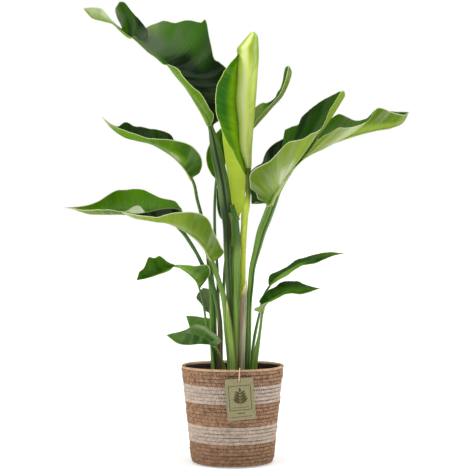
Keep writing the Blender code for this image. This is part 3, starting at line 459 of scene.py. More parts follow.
# The colours are dark, light, vein, margin and a painted sheen. Then roughness, specular, glow and relief.
DEEP_TOP = leaf_face("leaf_deep_top", (4, 32, 0), (54, 102, 0), (76, 120, 24), (146, 160, 104), (92, 106, 82),
                     0.46, 0.08, 0.12, 0.2, 0.5, sheen_spots=((-0.166, 0.85, 0.05), (-0.232, 0.9, 0.022)))
BRIGHT_TOP = leaf_face("leaf_bright_top", (18, 66, 0), (88, 144, 0), (112, 160, 30), (160, 182, 96),
                       (100, 130, 66), 0.42, 0.09, 0.14, 0.2, 0.5, 0.2)
PALE_UNDER = leaf_face("leaf_pale_underside", (82, 114, 10), (132, 158, 46), (170, 184, 112), (204, 210, 176),
                       (148, 160, 118), 0.46, 0.14, 0.14, 0.35, 1.0, 0.5, sheen_spots=((0.072, 0.32, 0.03),))
FRESH_UNDER = leaf_face("leaf_fresh_underside", (42, 84, 0), (98, 142, 4), (140, 168, 64), (190, 200, 152),
                        (126, 144, 94), 0.44, 0.12, 0.14, 0.35, 1.0, 0.4)
SHADE_TOP = leaf_face("leaf_shaded_top", (30, 72, 4), (92, 134, 42), (110, 146, 72), (156, 178, 130),
                      (122, 146, 104), 0.4, 0.26, 0.12, 0.25, 0.5, 0.55)
DULL_UNDER = leaf_face("leaf_dull_underside", (74, 96, 54), (128, 146, 100), (140, 152, 110), (156, 166, 128),
                       (156, 166, 128), 0.5, 0.2, 0.12, 0.35)
LEAF_FACES = {
    "pale": (DEEP_TOP, PALE_UNDER, leaf_edge), "fresh": (DEEP_TOP, FRESH_UNDER, leaf_edge),
    "bright": (BRIGHT_TOP, FRESH_UNDER, leaf_edge), "dull": (DULL_UNDER, DULL_UNDER, leaf_edge),
    "light": (BRIGHT_TOP, PALE_UNDER, leaf_edge), "shaded": (SHADE_TOP, FRESH_UNDER, leaf_edge),
}
print("kinds of leaf:", list(LEAF_FACES))

# %% [markdown]
# ## Building a blade
# Each half of a blade is spanned between the midrib and one margin, and bellies out between them
# by a few millimetres. Columns crowd together at the rib, because it is a rounded ridge on the
# underside with a shallow channel above. Shallow pleats follow the veins, and the margin ripples.
# Veins lean towards the tip: a lean below 1 joins a place on the rib to one further on at the margin.

# %% The grid of a blade
def even_rows(plan, rows):
    """Places along the leaf, spread so that rows are evenly apart on the rib and both margins."""
    fine = np.linspace(0, 1000, 4001)
    apart = np.full(len(fine) - 1, 1e-6)
    for side in ("midrib", "left", "right"):
        lean = plan.get(side + "_lean", 1.0)
        apart += np.linalg.norm(np.diff(through(plan[side], 1000 * (fine / 1000) ** lean), axis=0), axis=1)
    total = np.concatenate([[0], np.cumsum(apart)])
    return np.interp(np.linspace(0, total[-1], rows + 1), total, fine)


def rib_and_halves(plan, places, rib_radius, columns):
    """The grid of a blade, and for each point its gaps to the rib and the margin, its share outward,
    how far along the veins it is, and its place on the margin."""
    rib = through(plan["midrib"], places) * MM
    near = np.array([0, 0.3, 0.6, 0.85, 1.05, 1.5])
    spread = np.linspace(0, 1, columns - len(near) + 2)[1:] ** 0.9
    parts = []
    for side in ("left", "right"):
        on_margin = 1000 * (places / 1000) ** plan.get(side + "_lean", 1.0)
        margin = through(plan[side], on_margin) * MM
        belly = through(plan.get(side + "_belly", ((0, 0, 0, 0), (1000, 0, 0, 0))), places) * MM
        width = np.linalg.norm(margin - rib, axis=1)[:, None]
        inner = np.minimum(near * rib_radius / np.maximum(width, 1e-5), near / near[-1] * 0.5)
        share = np.concatenate([inner, inner[:, -1:] + (1 - inner[:, -1:]) * spread], axis=1)
        grid = (rib[:, None] + share[:, :, None] * (margin - rib)[:, None]
                + np.sin(math.pi * share)[:, :, None] * belly[:, None])
        outward = np.cumsum(np.linalg.norm(np.diff(grid, axis=1, prepend=grid[:, :1]), axis=2), axis=1)
        middle = (rib + margin) / 2
        run = np.cumsum(np.linalg.norm(np.diff(middle, axis=0, prepend=middle[:1]), axis=1))
        run, on_margin = (np.broadcast_to(value[:, None], share.shape) for value in (run, on_margin))
        parts.append((grid, outward, outward[:, -1:] - outward, share, run, on_margin))
    return [np.concatenate([left[:, :0:-1], right], axis=1) for left, right in zip(*parts)]


def torn(plan, margin_place, share, columns):
    """Which cells are there: a tear leaves out those from its share outward, between its two places."""
    middle = (margin_place[:-1, :-1] + margin_place[1:, 1:]) / 2
    outward = (share[:-1, :-1] + share[:-1, 1:]) / 2
    keep = np.ones(middle.shape, bool)
    for side, on_side in (("left", slice(0, columns)), ("right", slice(columns, None))):
        for start, end, reach in plan.get(side + "_tears", ()):
            place, out = middle[:, on_side], outward[:, on_side]
            keep[:, on_side] &= ~((place > start) & (place < end) & (out > reach))
    return keep

# %% The blade builder
PLEAT = 0.0085
RIPPLE = 0.001
BLADE_THICK, BLADE_LEAST = 0.0006, 0.0005
EVEN_TONE = ((0, 0.5, 0.5, 0.5, 0.5), (1000, 0.5, 0.5, 0.5, 0.5))


def swell(run, length, draw):
    """The angle of a wave with this length along the veins, from a start that is drawn at random."""
    return run * 2 * math.pi / length + draw.uniform(0, 6.3)


def toned_and_lit(tone_and_light_keys, margin_place, share, on_left):
    """The tone of each point, partly painted light and shade, from the four tones at its place along the
    leaf.
    """
    four = through(tone_and_light_keys, margin_place.ravel()).reshape(*margin_place.shape, 4)
    outer = np.where(on_left, four[:, :, 0], four[:, :, 3])
    inner = np.where(on_left, four[:, :, 1], four[:, :, 2])
    to_margin = np.clip((share - 0.25) / 0.4, 0, 1)
    return inner + (outer - inner) * to_margin ** 2 * (3 - 2 * to_margin)


def blade_mesh(name, plan, rows, rib_width, finishes, columns=22, pleat=0.00016, seed=0, tone_and_light_keys=EVEN_TONE):
    """A leaf blade with its rib, pleats and rippled margin. rib_width is the ridge's radius at each end.
    tone_and_light_keys give the tone at places along the leaf, partly its own colour and partly painted
    light and shade: left margin, left of the rib, right of it, right margin."""
    draw = np.random.default_rng(seed)
    places = even_rows(plan, rows)
    rib_keys = ((0, rib_width[0]), (450, 0.45 * sum(rib_width)), (1000, rib_width[1]))
    rib_radius = through(rib_keys, places)
    grid, rib_gap, margin_gap, share, run, margin_place = rib_and_halves(plan, places, rib_radius, columns)
    side = np.sign(np.arange(2 * columns + 1) - columns)[None]
    half_width = rib_gap + margin_gap
    full = np.clip(half_width / 0.05, 0, 1)
    off_rib = np.clip((rib_gap - 0.003) / 0.02, 0, 1)
    wander = sum(np.sin(swell(run, length, draw) + side) for length in (0.05, 0.083)) * 0.9
    broad = np.sin(swell(run, 0.027, draw) + 1.3 * wander)
    fine = np.sin(run * 2 * math.pi / PLEAT + wander + 2 * share)
    pleats = off_rib * full * (pleat * fine + 1.5 * pleat * broad)
    waves = sum(np.sin(swell(run, length, draw) + 1.7 * side) / 2 for length in (0.031, 0.052))
    ripple = RIPPLE * full * share ** 3 * waves
    grid = grid + grid_normals(grid) * (pleats + ripple)[:, :, None]
    across = rib_gap / rib_radius
    ridge = rib_radius * np.sqrt(np.clip(1 - across ** 2, 0, 1)) * np.clip(half_width, 0, 0.012) / 0.012
    channel = 0.3 * rib_radius * np.exp(-(across / 0.5) ** 2)
    # The sheet's middle moves down by half of the ridge, so that all of the ridge is on the underside.
    grid = grid - grid_normals(grid) * (ridge / 2 + channel / 2)[:, :, None]
    thick = np.maximum(BLADE_THICK + ridge - channel * 0.9, BLADE_LEAST)
    held = {"vein_run": run + 5.0 * (side > 0), "rib_gap": rib_gap, "margin_gap": margin_gap,
            "rib_side": across, "tone_and_light": toned_and_lit(tone_and_light_keys, margin_place, share, side < 0)}
    return thin_sheet(name, grid, thick, held, finishes, torn(plan, margin_place, share, columns))

# %% [markdown]
# ## The shape of each leaf
# The keys below are millimetres from the basket's middle on the floor: x to the right, y to the
# back, z up. The first number is the place along the leaf in thousandths. The two halves of the
# big leaves fold up like a book, and the margins of the oldest ones curl over and are torn.

# %% Leaf keys
LEAVES = {
    "leaf_top_left": {
        "midrib": ((0, -44, 0, 684), (70, -56, -4, 708), (150, -72, -8, 734), (250, -92, -14, 764),
            (350, -115, -20, 790), (450, -134, -26, 814), (550, -162, -30, 837), (650, -185, -32, 855),
            (720, -199, -34, 862), (780, -207, -34, 861), (840, -217, -34, 867), (890, -229, -33, 878),
            (930, -243, -32, 890), (960, -263, -31, 896), (980, -283, -30, 902), (1000, -300, -28, 919)),
        "left": ((0, -48, -2, 682), (30, -40, -20, 694), (60, -38, -35, 706), (90, -46, -45, 716),
            (130, -53, -55, 731), (180, -65, -66, 746), (240, -84, -75, 762), (300, -97, -80, 777),
            (360, -109, -80, 792), (420, -124, -75, 801), (470, -136, -68, 802), (520, -151, -60, 814),
            (580, -167, -55, 827), (640, -183, -50, 841), (690, -194, -45, 852), (730, -201, -42, 858),
            (780, -207, -45, 861), (850, -220, -50, 871), (900, -235, -52, 884), (930, -244, -50, 896),
            (950, -254, -46, 908), (970, -265, -40, 919), (985, -282, -34, 922), (1000, -300, -28, 922)),
        "right": ((0, -40, 2, 688), (60, -24, 12, 701), (120, -7, 30, 725), (200, 3, 45, 760),
            (270, -3, 55, 790), (320, -14, 60, 812), (350, -28, 62, 825), (370, -39, 60, 833),
            (385, -44, 66, 854), (400, -50, 70, 884), (412, -54, 70, 907), (450, -68, 72, 909),
            (490, -98, 70, 913), (540, -123, 66, 907), (580, -145, 62, 911), (610, -158, 56, 904),
            (640, -178, 46, 895), (660, -175, -12, 883), (690, -186, -18, 896), (720, -196, -24, 907),
            (750, -209, -28, 922), (775, -220, -30, 934), (790, -228, -30, 934), (805, -231, -28, 930),
            (825, -237, -24, 921), (850, -234, -20, 903), (880, -222, -18, 886), (905, -214, -20, 874),
            (925, -232, -26, 886), (945, -246, -28, 899), (965, -258, -29, 909), (980, -276, -29, 914),
            (1000, -300, -28, 920)),
        "left_belly": ((0, 0, 0, 0), (150, -4, -6, -4), (400, -4, -6, -4), (500, 0, 0, 0), (1000, 0, 0, 0)),
        "right_belly": ((0, 0, 0, 0), (150, 4, 12, -6), (350, 8, 14, -12), (385, 4, 10, -16),
            (420, 4, -2, -18), (600, 2, -2, -14), (650, 8, 0, -4), (680, 10, 0, 2), (750, 8, 4, 0),
            (900, 0, 0, 0), (1000, 0, 0, 0)),
        "right_tears": ((645, 655, 0.75),),
    },
    "leaf_right": {
        "midrib": ((0, 77, -20, 522), (60, 83, -21, 539), (120, 93, -22, 558), (200, 108, -23, 582),
            (280, 124, -24, 604), (360, 143, -24, 621), (440, 165, -24, 634), (520, 189, -22, 646),
            (600, 218, -20, 656), (700, 253, -18, 667), (800, 290, -14, 676), (900, 327, -10, 683),
            (960, 348, -6, 694), (1000, 360, -4, 714)),
        "left": ((0, 70, -18, 526), (10, 60, 0, 529), (22, 49, 12, 531), (32, 40, 22, 527),
            (45, 38, 30, 544), (60, 37, 38, 571), (75, 39, 45, 596), (85, 51, 50, 607), (92, 61, 52, 613),
            (100, 65, 55, 626), (110, 73, 60, 640), (123, 95, 66, 659), (130, 111, 66, 667),
            (134, 115, 66, 668), (139, 109, 68, 680), (147, 121, 70, 689), (158, 139, 71, 696),
            (165, 143, 72, 705), (185, 160, 72, 725), (210, 185, 70, 743), (235, 214, 66, 758),
            (246, 227, 62, 763), (252, 233, 60, 759), (270, 205, 50, 711), (300, 221, 48, 715),
            (340, 238, 46, 708), (410, 254, 42, 701), (480, 270, 36, 701), (560, 286, 30, 712),
            (620, 294, 26, 721), (780, 321, 14, 717), (1000, 360, -4, 714)),
        "right": ((0, 71, -22, 525), (8, 63, -30, 531), (18, 51, -45, 537), (26, 47, -50, 548),
            (36, 38, -60, 553), (48, 35, -70, 566), (60, 35, -80, 582), (70, 42, -88, 592),
            (82, 58, -95, 601), (94, 74, -100, 609), (104, 86, -100, 621), (115, 98, -100, 635),
            (126, 111, -100, 646), (136, 125, -100, 649), (145, 139, -100, 652), (156, 155, -98, 662),
            (165, 169, -95, 668), (171, 177, -90, 676), (179, 185, -85, 693), (187, 195, -80, 713),
            (193, 203, -78, 725), (198, 211, -76, 741), (202, 219, -75, 750), (208, 224, -70, 740),
            (222, 173, -62, 661), (240, 185, -64, 663), (270, 198, -66, 669), (310, 210, -66, 676),
            (360, 225, -63, 677), (420, 241, -60, 679), (480, 257, -55, 684), (540, 276, -50, 697),
            (580, 283, -48, 710), (620, 292, -44, 718), (670, 303, -40, 718), (750, 320, -30, 712),
            (850, 340, -18, 708), (930, 352, -10, 708), (1000, 360, -4, 715)),
        "left_belly": ((0, 0, 0, 0), (100, -4, 8, -4), (220, -2, 12, -6), (300, 0, 10, -8), (700, 0, 4, -6),
            (1000, 0, 0, 0)),
        "right_belly": ((0, 0, 0, 0), (50, 2, -12, -4), (120, -2, -14, 0), (190, 4, -10, -2),
            (205, 7, -6, -1), (225, 0, -6, -6), (600, 2, -8, -6), (1000, 0, 0, 0)),
        "left_tears": ((252, 270, 0.5),),
        "right_tears": ((208, 222, 0.06),),
    },
    "leaf_left_upper": {
        "midrib": ((0, -83, -5, 575), (80, -90, -6, 588), (200, -103, -8, 606), (320, -120, -12, 622),
            (440, -141, -16, 636), (560, -165, -20, 648), (680, -191, -23, 654), (800, -220, -25, 662),
            (900, -243, -26, 678), (1000, -264, -26, 702)),
        "left": ((0, -82, -6, 581), (30, -78, -15, 585), (70, -68, -30, 587), (120, -61, -42, 600),
            (170, -61, -50, 613), (220, -67, -56, 626), (270, -77, -60, 638), (330, -91, -60, 646),
            (400, -109, -60, 651), (480, -131, -58, 654), (560, -155, -55, 656), (620, -169, -50, 657),
            (700, -192, -45, 665), (800, -214, -38, 673), (900, -240, -30, 684), (1000, -264, -26, 702)),
        "right": ((0, -81, -3, 581), (100, -75, 10, 600), (200, -81, 20, 621), (300, -94, 26, 640),
            (380, -113, 30, 653), (420, -121, 30, 660), (460, -127, 30, 669), (520, -140, 30, 677),
            (580, -154, 28, 680), (640, -170, 25, 682), (700, -188, 20, 686), (750, -202, 16, 687),
            (790, -215, 10, 693), (830, -223, 6, 693), (870, -233, -4, 685), (930, -249, -15, 690),
            (1000, -264, -26, 702)),
        "left_belly": ((0, 0, 0, 0), (200, -2, -8, -6), (450, -4, -6, -2), (600, 0, -4, -3),
            (1000, 0, 0, 0)),
        "right_belly": ((0, 0, 0, 0), (500, 0, 4, -6), (1000, 0, 0, 0)),
        "left_lean": 0.78,
        "right_lean": 0.7,
    },
    "leaf_left_middle": {
        "midrib": ((0, -125, 20, 500), (100, -143, 20, 503), (200, -166, 20, 504), (300, -186, 20, 505),
            (420, -215, 20, 507), (550, -246, 20, 506), (700, -279, 20, 506), (800, -297, 20, 507),
            (880, -314, 20, 512), (950, -330, 20, 517), (1000, -347, 20, 519)),
        "left": ((0, -124, 16, 506), (100, -138, 6, 510), (200, -160, 0, 509), (270, -176, -4, 507),
            (300, -183, -6, 516), (330, -190, -8, 522), (360, -198, -10, 522), (390, -206, -12, 518),
            (420, -214, -14, 512), (500, -230, -18, 512), (600, -253, -18, 514), (700, -274, -12, 515),
            (800, -293, 0, 514), (880, -311, 10, 515), (950, -328, 16, 518), (1000, -347, 20, 519)),
        "right": ((0, -123, 24, 506), (40, -113, 30, 505), (80, -105, 45, 513), (130, -112, 55, 525),
            (180, -119, 65, 533), (240, -135, 72, 537), (300, -153, 78, 542), (360, -170, 82, 550),
            (430, -187, 84, 558), (500, -208, 84, 560), (580, -228, 80, 558), (650, -245, 72, 556),
            (720, -260, 62, 547), (800, -280, 50, 533), (880, -300, 38, 525), (950, -323, 28, 521),
            (1000, -347, 20, 519)),
        "left_belly": ((0, 0, 0, 0), (500, 0, -3, -5), (1000, 0, 0, 0)),
        "right_belly": ((0, 0, 0, 0), (400, 0, 8, -12), (700, 0, 4, -6), (1000, 0, 0, 0)),
        "left_lean": 0.8,
        "right_lean": 0.6,
    },
    "leaf_left_front": {
        "midrib": ((0, -42, -20, 408), (60, -48, -22, 422), (120, -55, -25, 436), (200, -68, -30, 452),
            (300, -87, -34, 467), (400, -108, -38, 479), (500, -130, -42, 488), (600, -152, -45, 491),
            (700, -174, -46, 494), (800, -194, -46, 497), (900, -210, -46, 503), (1000, -224, -46, 509)),
        "left": ((0, -36, -22, 411), (30, -27, -35, 416), (70, -17, -50, 428), (120, -23, -62, 441),
            (180, -33, -75, 460), (240, -39, -83, 475), (290, -44, -88, 488), (330, -50, -90, 497),
            (380, -64, -92, 505), (440, -84, -92, 509), (500, -103, -90, 508), (550, -121, -87, 506),
            (600, -133, -83, 503), (660, -148, -78, 499), (720, -164, -74, 500), (800, -182, -68, 502),
            (900, -205, -58, 506), (1000, -224, -46, 509)),
        "right": ((0, -40, -18, 414), (150, -52, -6, 449), (300, -76, -8, 481), (400, -93, -12, 502),
            (460, -103, -14, 512), (500, -115, -16, 517), (550, -131, -18, 518), (620, -151, -22, 515),
            (700, -171, -26, 510), (800, -193, -32, 507), (900, -208, -38, 508), (1000, -224, -46, 509)),
        "left_belly": ((0, 0, 0, 0), (200, -4, -10, -6), (500, -2, -8, -6), (1000, 0, 0, 0)),
        "right_belly": ((0, 0, 0, 0), (500, 0, 4, -4), (1000, 0, 0, 0)),
        "left_lean": 0.7,
        "right_lean": 0.8,
    },
    "leaf_left_low": {
        "midrib": ((0, -67, 8, 352), (120, -73, 8, 367), (250, -85, 8, 380), (380, -101, 6, 392),
            (480, -117, 5, 400), (550, -128, 4, 395), (700, -152, 3, 384), (850, -175, 3, 376),
            (1000, -197, 4, 370)),
        "left": ((0, -65, 6, 357), (40, -58, -4, 365), (90, -49, -15, 378), (150, -45, -24, 391),
            (200, -50, -30, 402), (260, -62, -30, 403), (320, -76, -28, 401), (380, -92, -22, 402),
            (440, -107, -10, 403), (480, -116, 0, 402), (530, -125, -4, 393), (600, -136, -6, 387),
            (700, -154, -8, 381), (850, -176, -4, 374), (1000, -197, 4, 370)),
        "right": ((0, -67, 10, 356), (100, -59, 20, 379), (200, -61, 26, 395), (300, -77, 24, 399),
            (400, -100, 16, 401), (480, -117, 10, 402), (530, -133, 20, 408), (580, -146, 28, 418),
            (610, -151, 30, 420), (660, -162, 32, 416), (710, -172, 32, 418), (780, -178, 28, 407),
            (840, -183, 22, 395), (900, -192, 16, 387), (950, -194, 10, 379), (1000, -197, 4, 370)),
        "left_belly": ((0, 0, 0, 0), (200, -2, -5, -3), (480, 0, 0, 0), (1000, 0, 0, 0)),
        "right_belly": ((0, 0, 0, 0), (650, 0, 4, -4), (1000, 0, 0, 0)),
    },
    "leaf_narrow": {
        "midrib": ((0, 38, 25, 677), (150, 53, 25, 695), (300, 67, 24, 710), (450, 83, 23, 728),
            (600, 100, 21, 746), (720, 110, 19, 763), (840, 118, 18, 783), (940, 121, 17, 800),
            (1000, 116, 16, 811)),
        "left": ((0, 36, 27, 684), (70, 41, 34, 717), (130, 49, 40, 729), (200, 61, 42, 737),
            (300, 70, 42, 737), (400, 80, 40, 741), (500, 89, 36, 749), (580, 93, 34, 758),
            (680, 99, 30, 767), (780, 104, 26, 783), (880, 106, 22, 798), (960, 110, 18, 809),
            (1000, 115, 16, 811)),
        "right": ((0, 39, 24, 679), (150, 50, 12, 701), (300, 65, 8, 717), (450, 80, 6, 733),
            (600, 94, 6, 748), (720, 102, 8, 763), (840, 109, 10, 784), (940, 113, 14, 801),
            (1000, 115, 16, 811)),
        "left_belly": ((0, 0, 0, 0), (300, -1, 3, -3), (1000, 0, 0, 0)),
    },
    "leaf_back_centre": {
        "midrib": ((0, -35, 60, 580), (300, -34, 62, 614), (600, -30, 65, 647), (1000, -23, 66, 688)),
        "left": ((0, -36, 60, 581), (100, -43, 60, 588), (220, -51, 58, 603), (350, -55, 58, 620),
            (500, -53, 58, 640), (620, -47, 60, 655), (800, -36, 62, 674), (1000, -23, 66, 688)),
        "right": ((0, -33, 62, 581), (150, -22, 66, 595), (400, -12, 70, 624), (700, -16, 68, 662),
            (1000, -23, 66, 688)),
    },
    "leaf_left_back": {
        "midrib": ((0, -47, 30, 302), (300, -51, 36, 318), (650, -56, 44, 336), (1000, -62, 54, 352)),
        "left": ((0, -49, 30, 302), (150, -57, 30, 307), (300, -62, 28, 316), (420, -67, 28, 323),
            (550, -74, 30, 331), (700, -74, 34, 338), (850, -69, 44, 346), (1000, -62, 54, 353)),
        "right": ((0, -45, 31, 304), (300, -39, 45, 315), (600, -41, 50, 334), (800, -46, 54, 347),
            (900, -51, 55, 351), (1000, -62, 54, 353)),
    },
    "leaf_left_small": {
        "midrib": ((0, -43, 38, 266), (400, -61, 42, 276), (750, -80, 46, 286), (1000, -97, 50, 295)),
        "left": ((0, -43, 36, 262), (300, -57, 30, 261), (600, -78, 34, 263), (800, -89, 40, 272),
            (900, -93, 45, 283), (1000, -97, 50, 295)),
        "right": ((0, -41, 40, 270), (200, -43, 50, 286), (500, -62, 56, 291), (800, -80, 56, 294),
            (1000, -97, 50, 295)),
    },
    "leaf_left_lowest": {
        "midrib": ((0, -33, -30, 239), (120, -43, -32, 247), (300, -63, -36, 258), (500, -85, -40, 265),
            (750, -109, -44, 264), (1000, -133, -46, 262)),
        "left": ((0, -35, -32, 237), (100, -45, -45, 242), (250, -59, -60, 245), (400, -77, -66, 244),
            (550, -99, -66, 244), (680, -112, -62, 248), (820, -123, -56, 255), (1000, -133, -46, 262)),
        "right": ((0, -31, -28, 241), (50, -23, -20, 247), (120, -29, -12, 256), (200, -42, -8, 266),
            (280, -53, -6, 276), (380, -68, -8, 280), (500, -83, -14, 278), (600, -92, -20, 271),
            (700, -103, -26, 267), (850, -120, -36, 265), (1000, -133, -46, 262)),
        "left_belly": ((0, 0, 0, 0), (400, 0, 0, -3), (1000, 0, 0, 0)),
        "right_belly": ((0, 0, 0, 0), (300, 0, 0, 4), (1000, 0, 0, 0)),
    },
    "leaf_right_upper": {
        "midrib": ((0, 75, -4, 360), (100, 85, -5, 372), (220, 100, -6, 384), (350, 117, -6, 394),
            (500, 140, -5, 406), (650, 164, -4, 413), (800, 191, -2, 420), (1000, 231, 0, 426)),
        "left": ((0, 73, -2, 363), (60, 74, 8, 374), (130, 79, 16, 382), (200, 92, 24, 388),
            (280, 106, 30, 394), (360, 119, 34, 402), (460, 136, 36, 413), (560, 154, 34, 418),
            (660, 172, 30, 423), (780, 193, 22, 427), (870, 206, 14, 428), (940, 220, 6, 426),
            (1000, 231, 0, 426)),
        "right": ((0, 76, -6, 358), (80, 84, -20, 365), (180, 96, -32, 373), (280, 110, -40, 381),
            (380, 124, -44, 392), (480, 139, -44, 401), (560, 154, -40, 403), (660, 170, -34, 407),
            (780, 190, -22, 415), (900, 211, -10, 422), (1000, 231, 0, 426)),
        "left_belly": ((0, 0, 0, 0), (500, 0, 0, 3), (1000, 0, 0, 0)),
        "right_belly": ((0, 0, 0, 0), (400, 0, -2, 3), (1000, 0, 0, 0)),
    },
    "leaf_right_lower": {
        "midrib": ((0, 61, -32, 307), (100, 66, -35, 322), (200, 78, -38, 333), (350, 98, -43, 345),
            (500, 116, -46, 353), (700, 140, -46, 355), (1000, 177, -46, 356)),
        "left": ((0, 62, -30, 309), (50, 57, -20, 325), (100, 54, -16, 328), (150, 59, -13, 337),
            (200, 66, -10, 346), (260, 76, -6, 352), (320, 87, 0, 357), (390, 98, 6, 365),
            (460, 110, 12, 369), (530, 120, 10, 369), (600, 132, 4, 368), (700, 146, -8, 363),
            (850, 163, -28, 358), (1000, 177, -46, 356)),
        "right": ((0, 58, -34, 306), (40, 45, -50, 311), (80, 43, -60, 315), (130, 51, -66, 319),
            (200, 63, -70, 327), (280, 76, -72, 330), (360, 91, -70, 338), (440, 105, -66, 344),
            (520, 119, -60, 346), (620, 135, -56, 344), (740, 151, -52, 347), (870, 166, -48, 352),
            (1000, 177, -46, 356)),
        "left_belly": ((0, 0, 0, 0), (400, 0, 0, -2), (1000, 0, 0, 0)),
    },
    "spear_flap": {
        "midrib": ((0, 30, -4, 583), (100, 25, 0, 604), (300, 17, 3, 657), (500, 14, 4, 709),
            (700, 13, 4, 756), (880, 14, 2, 800), (1000, 17, 0, 841)),
        "left": ((0, 27, -14, 582), (60, 21, -20, 593), (140, 11, -30, 612), (250, -4, -45, 638),
            (360, -15, -55, 658), (470, -26, -62, 685), (570, -33, -66, 712), (670, -34, -64, 738),
            (760, -30, -58, 763), (850, -20, -50, 785), (920, -9, -40, 803), (970, 3, -28, 819),
            (1000, 9, -18, 827)),
        "right": ((0, 31, -3, 583), (300, 20, 4, 657), (600, 17, 5, 733), (1000, 19, 0, 841)),
        "left_belly": ((0, 0, 0, 0), (400, -1, -6, -1), (800, -1, -4, 0), (1000, 0, 0, 0)),
        "left_lean": 0.72,
    },
    "spear_wrap": {
        "midrib": ((0, 13, 0, 502), (100, 15, 0, 518), (300, 21, 2, 551), (500, 21, 6, 586),
            (700, 9, 12, 615), (850, -7, 18, 648), (1000, -23, 22, 684)),
        "left": ((0, 7, -2, 502), (100, 0, 0, 512), (300, -5, 4, 545), (500, -10, 10, 584),
            (700, -15, 16, 617), (850, -19, 20, 648), (1000, -23, 22, 684)),
        "right": ((0, 19, 0, 510), (150, 26, 0, 520), (350, 26, 2, 555), (500, 26, 4, 585),
            (700, 12, 10, 615), (850, -5, 17, 648), (1000, -23, 22, 684)),
    },
    "leaf_back_low": {
        "midrib": ((0, -23, 20, 496), (350, -26, 22, 519), (700, -29, 26, 541), (1000, -34, 30, 562)),
        "left": ((0, -24, 20, 496), (200, -29, 16, 507), (450, -32, 16, 523), (750, -33, 20, 543),
            (1000, -34, 30, 562)),
        "right": ((0, -21, 22, 496), (300, -21, 30, 517), (600, -23, 34, 540), (850, -27, 34, 556),
            (1000, -33, 30, 562)),
    },
}
print(len(LEAVES), "blades")

# %% [markdown]
# ## The young leaf
# The newest leaf is still rolled up tight like a scroll, and stands upright in the plant's middle.
# Only one half has started to open, as a brighter green flap on the left, with a paler wrap below.
# A scroll is a grid too: its columns run along a spiral, and its rows climb it, so the loose edge
# shows down the front as on the real leaf.

# %% Young leaf finishes
YOUNG_OUT = leaf_face("young_leaf_outside", (150, 186, 44), (236, 250, 122), (232, 244, 158),
                      (244, 248, 210), (236, 244, 190), 0.28, 0.4, 0.22, 0.3, sheen_share=0.2)
YOUNG_IN = leaf_face("young_leaf_inside", (24, 96, 0), (142, 190, 10), (164, 194, 70), (196, 214, 116),
                     (140, 186, 60), 0.36, 0.12, 0.2, 0.3, sheen_share=0.2)
YOUNG_WRAP = leaf_face("young_leaf_wrap", (212, 234, 72), (242, 252, 128), (240, 248, 150), (240, 246, 170),
                       (216, 230, 130), 0.42, 0.3, 0.5, 0.25, sheen_share=0.15)
young_edge = flecked("young_leaf_edge", 0.5, 0.3, (60,), (176, 204, 84), (200, 220, 112)).material

# %% The rolled leaf
# Place in thousandths, the scroll's middle and its radius, in millimetres.
SCROLL = (
    (0, 32, -3, 583, 5.3), (76, 32.5, -3, 606, 6.6), (181, 27.6, -2, 637, 12.7),
    (284, 27.6, -1, 667, 15.1), (389, 28.2, 0, 698, 17.3), (528, 27.6, 0, 739, 21.6),
    (667, 30.6, 0, 780, 21.4), (840, 32.3, 0, 831, 22.9), (889, 32.3, 0, 845, 22.8),
    (917, 35.3, 0, 853, 19), (944, 38.4, 1, 861, 15.3), (973, 41.5, 1, 870, 10.2),
    (990, 41.8, 2, 875, 6), (1000, 41.8, 2, 878, 3.2),
)
TURNS = 1.7
LOOSE_EDGE = math.radians(20)
EDGE_PALES, SCROLL_THICK = 0.0014, 0.0005


def scroll_tone_and_light(angle, height):
    """A painted highlight down the roll's front left, and a greener stripe to its right. Painted light
    lifts the shadow on its left side. Painted shade makes the top darker and greener, with a stronger
    highlight.
    """
    top = np.clip((height - 0.79) / 0.05, 0, 1)
    places = ((-0.3, 0.26), (0.8, 0.16), (-1.2, 0.55))
    sheen, stripe, shaded = (np.exp(-((angle - middle) / wide) ** 2) for middle, wide in places)
    # Painted highlight, painted light in the shadow on the left, and painted shade at the top.
    tone_and_light = 0.45 + 0.15 * np.cos(angle + 0.3) - 0.35 * stripe - 0.35 * top
    return tone_and_light + (1 + 0.5 * top) * sheen + 0.9 * (1 - top) * shaded


def scroll_mesh(rows=300, columns=150):
    """The rolled half of the young leaf, from its loose edge inward."""
    places = np.linspace(0, 1000, rows + 1)
    course = through(SCROLL, places) * MM
    inward = np.linspace(0, TURNS, columns + 1)
    angle = LOOSE_EDGE - 2 * math.pi * inward[None] + 0.12 * np.sin(places / 120)[:, None]
    radius = course[:, 3:4] * (1 - 0.085 * inward[None])
    # The free margin stands a little proud, and the surface swells and dips along the leaf.
    radius = radius + 0.0004 * np.exp(-(inward[None] / 0.03) ** 2)
    radius = radius * (1 + 0.012 * np.sin(places / 60)[:, None] * np.sin(angle * 2))
    grid = np.stack([course[:, 0:1] + radius * np.sin(angle), course[:, 1:2] - radius * np.cos(angle),
                     np.broadcast_to(course[:, 2:3], radius.shape)], axis=-1)
    outward = radius * (inward[None] * 2 * math.pi)
    climb = course[:, 2:3] - course[0, 2]
    # The veins climb as they run round, and the roll shows no rib.
    held = {"vein_run": outward + 0.22 * climb, "rib_gap": climb + 0 * outward,
            "margin_gap": outward + EDGE_PALES, "rib_side": np.full(radius.shape, 9.0),
            "tone_and_light": scroll_tone_and_light(angle, course[:, 2:3])}
    # The grid is turned round, so that its outer side is the face that looks outward.
    held = {key: value[:, ::-1] for key, value in held.items()}
    return thin_sheet("leaf_spear_scroll", grid[:, ::-1], SCROLL_THICK, held,
                      (YOUNG_OUT, YOUNG_IN, young_edge))


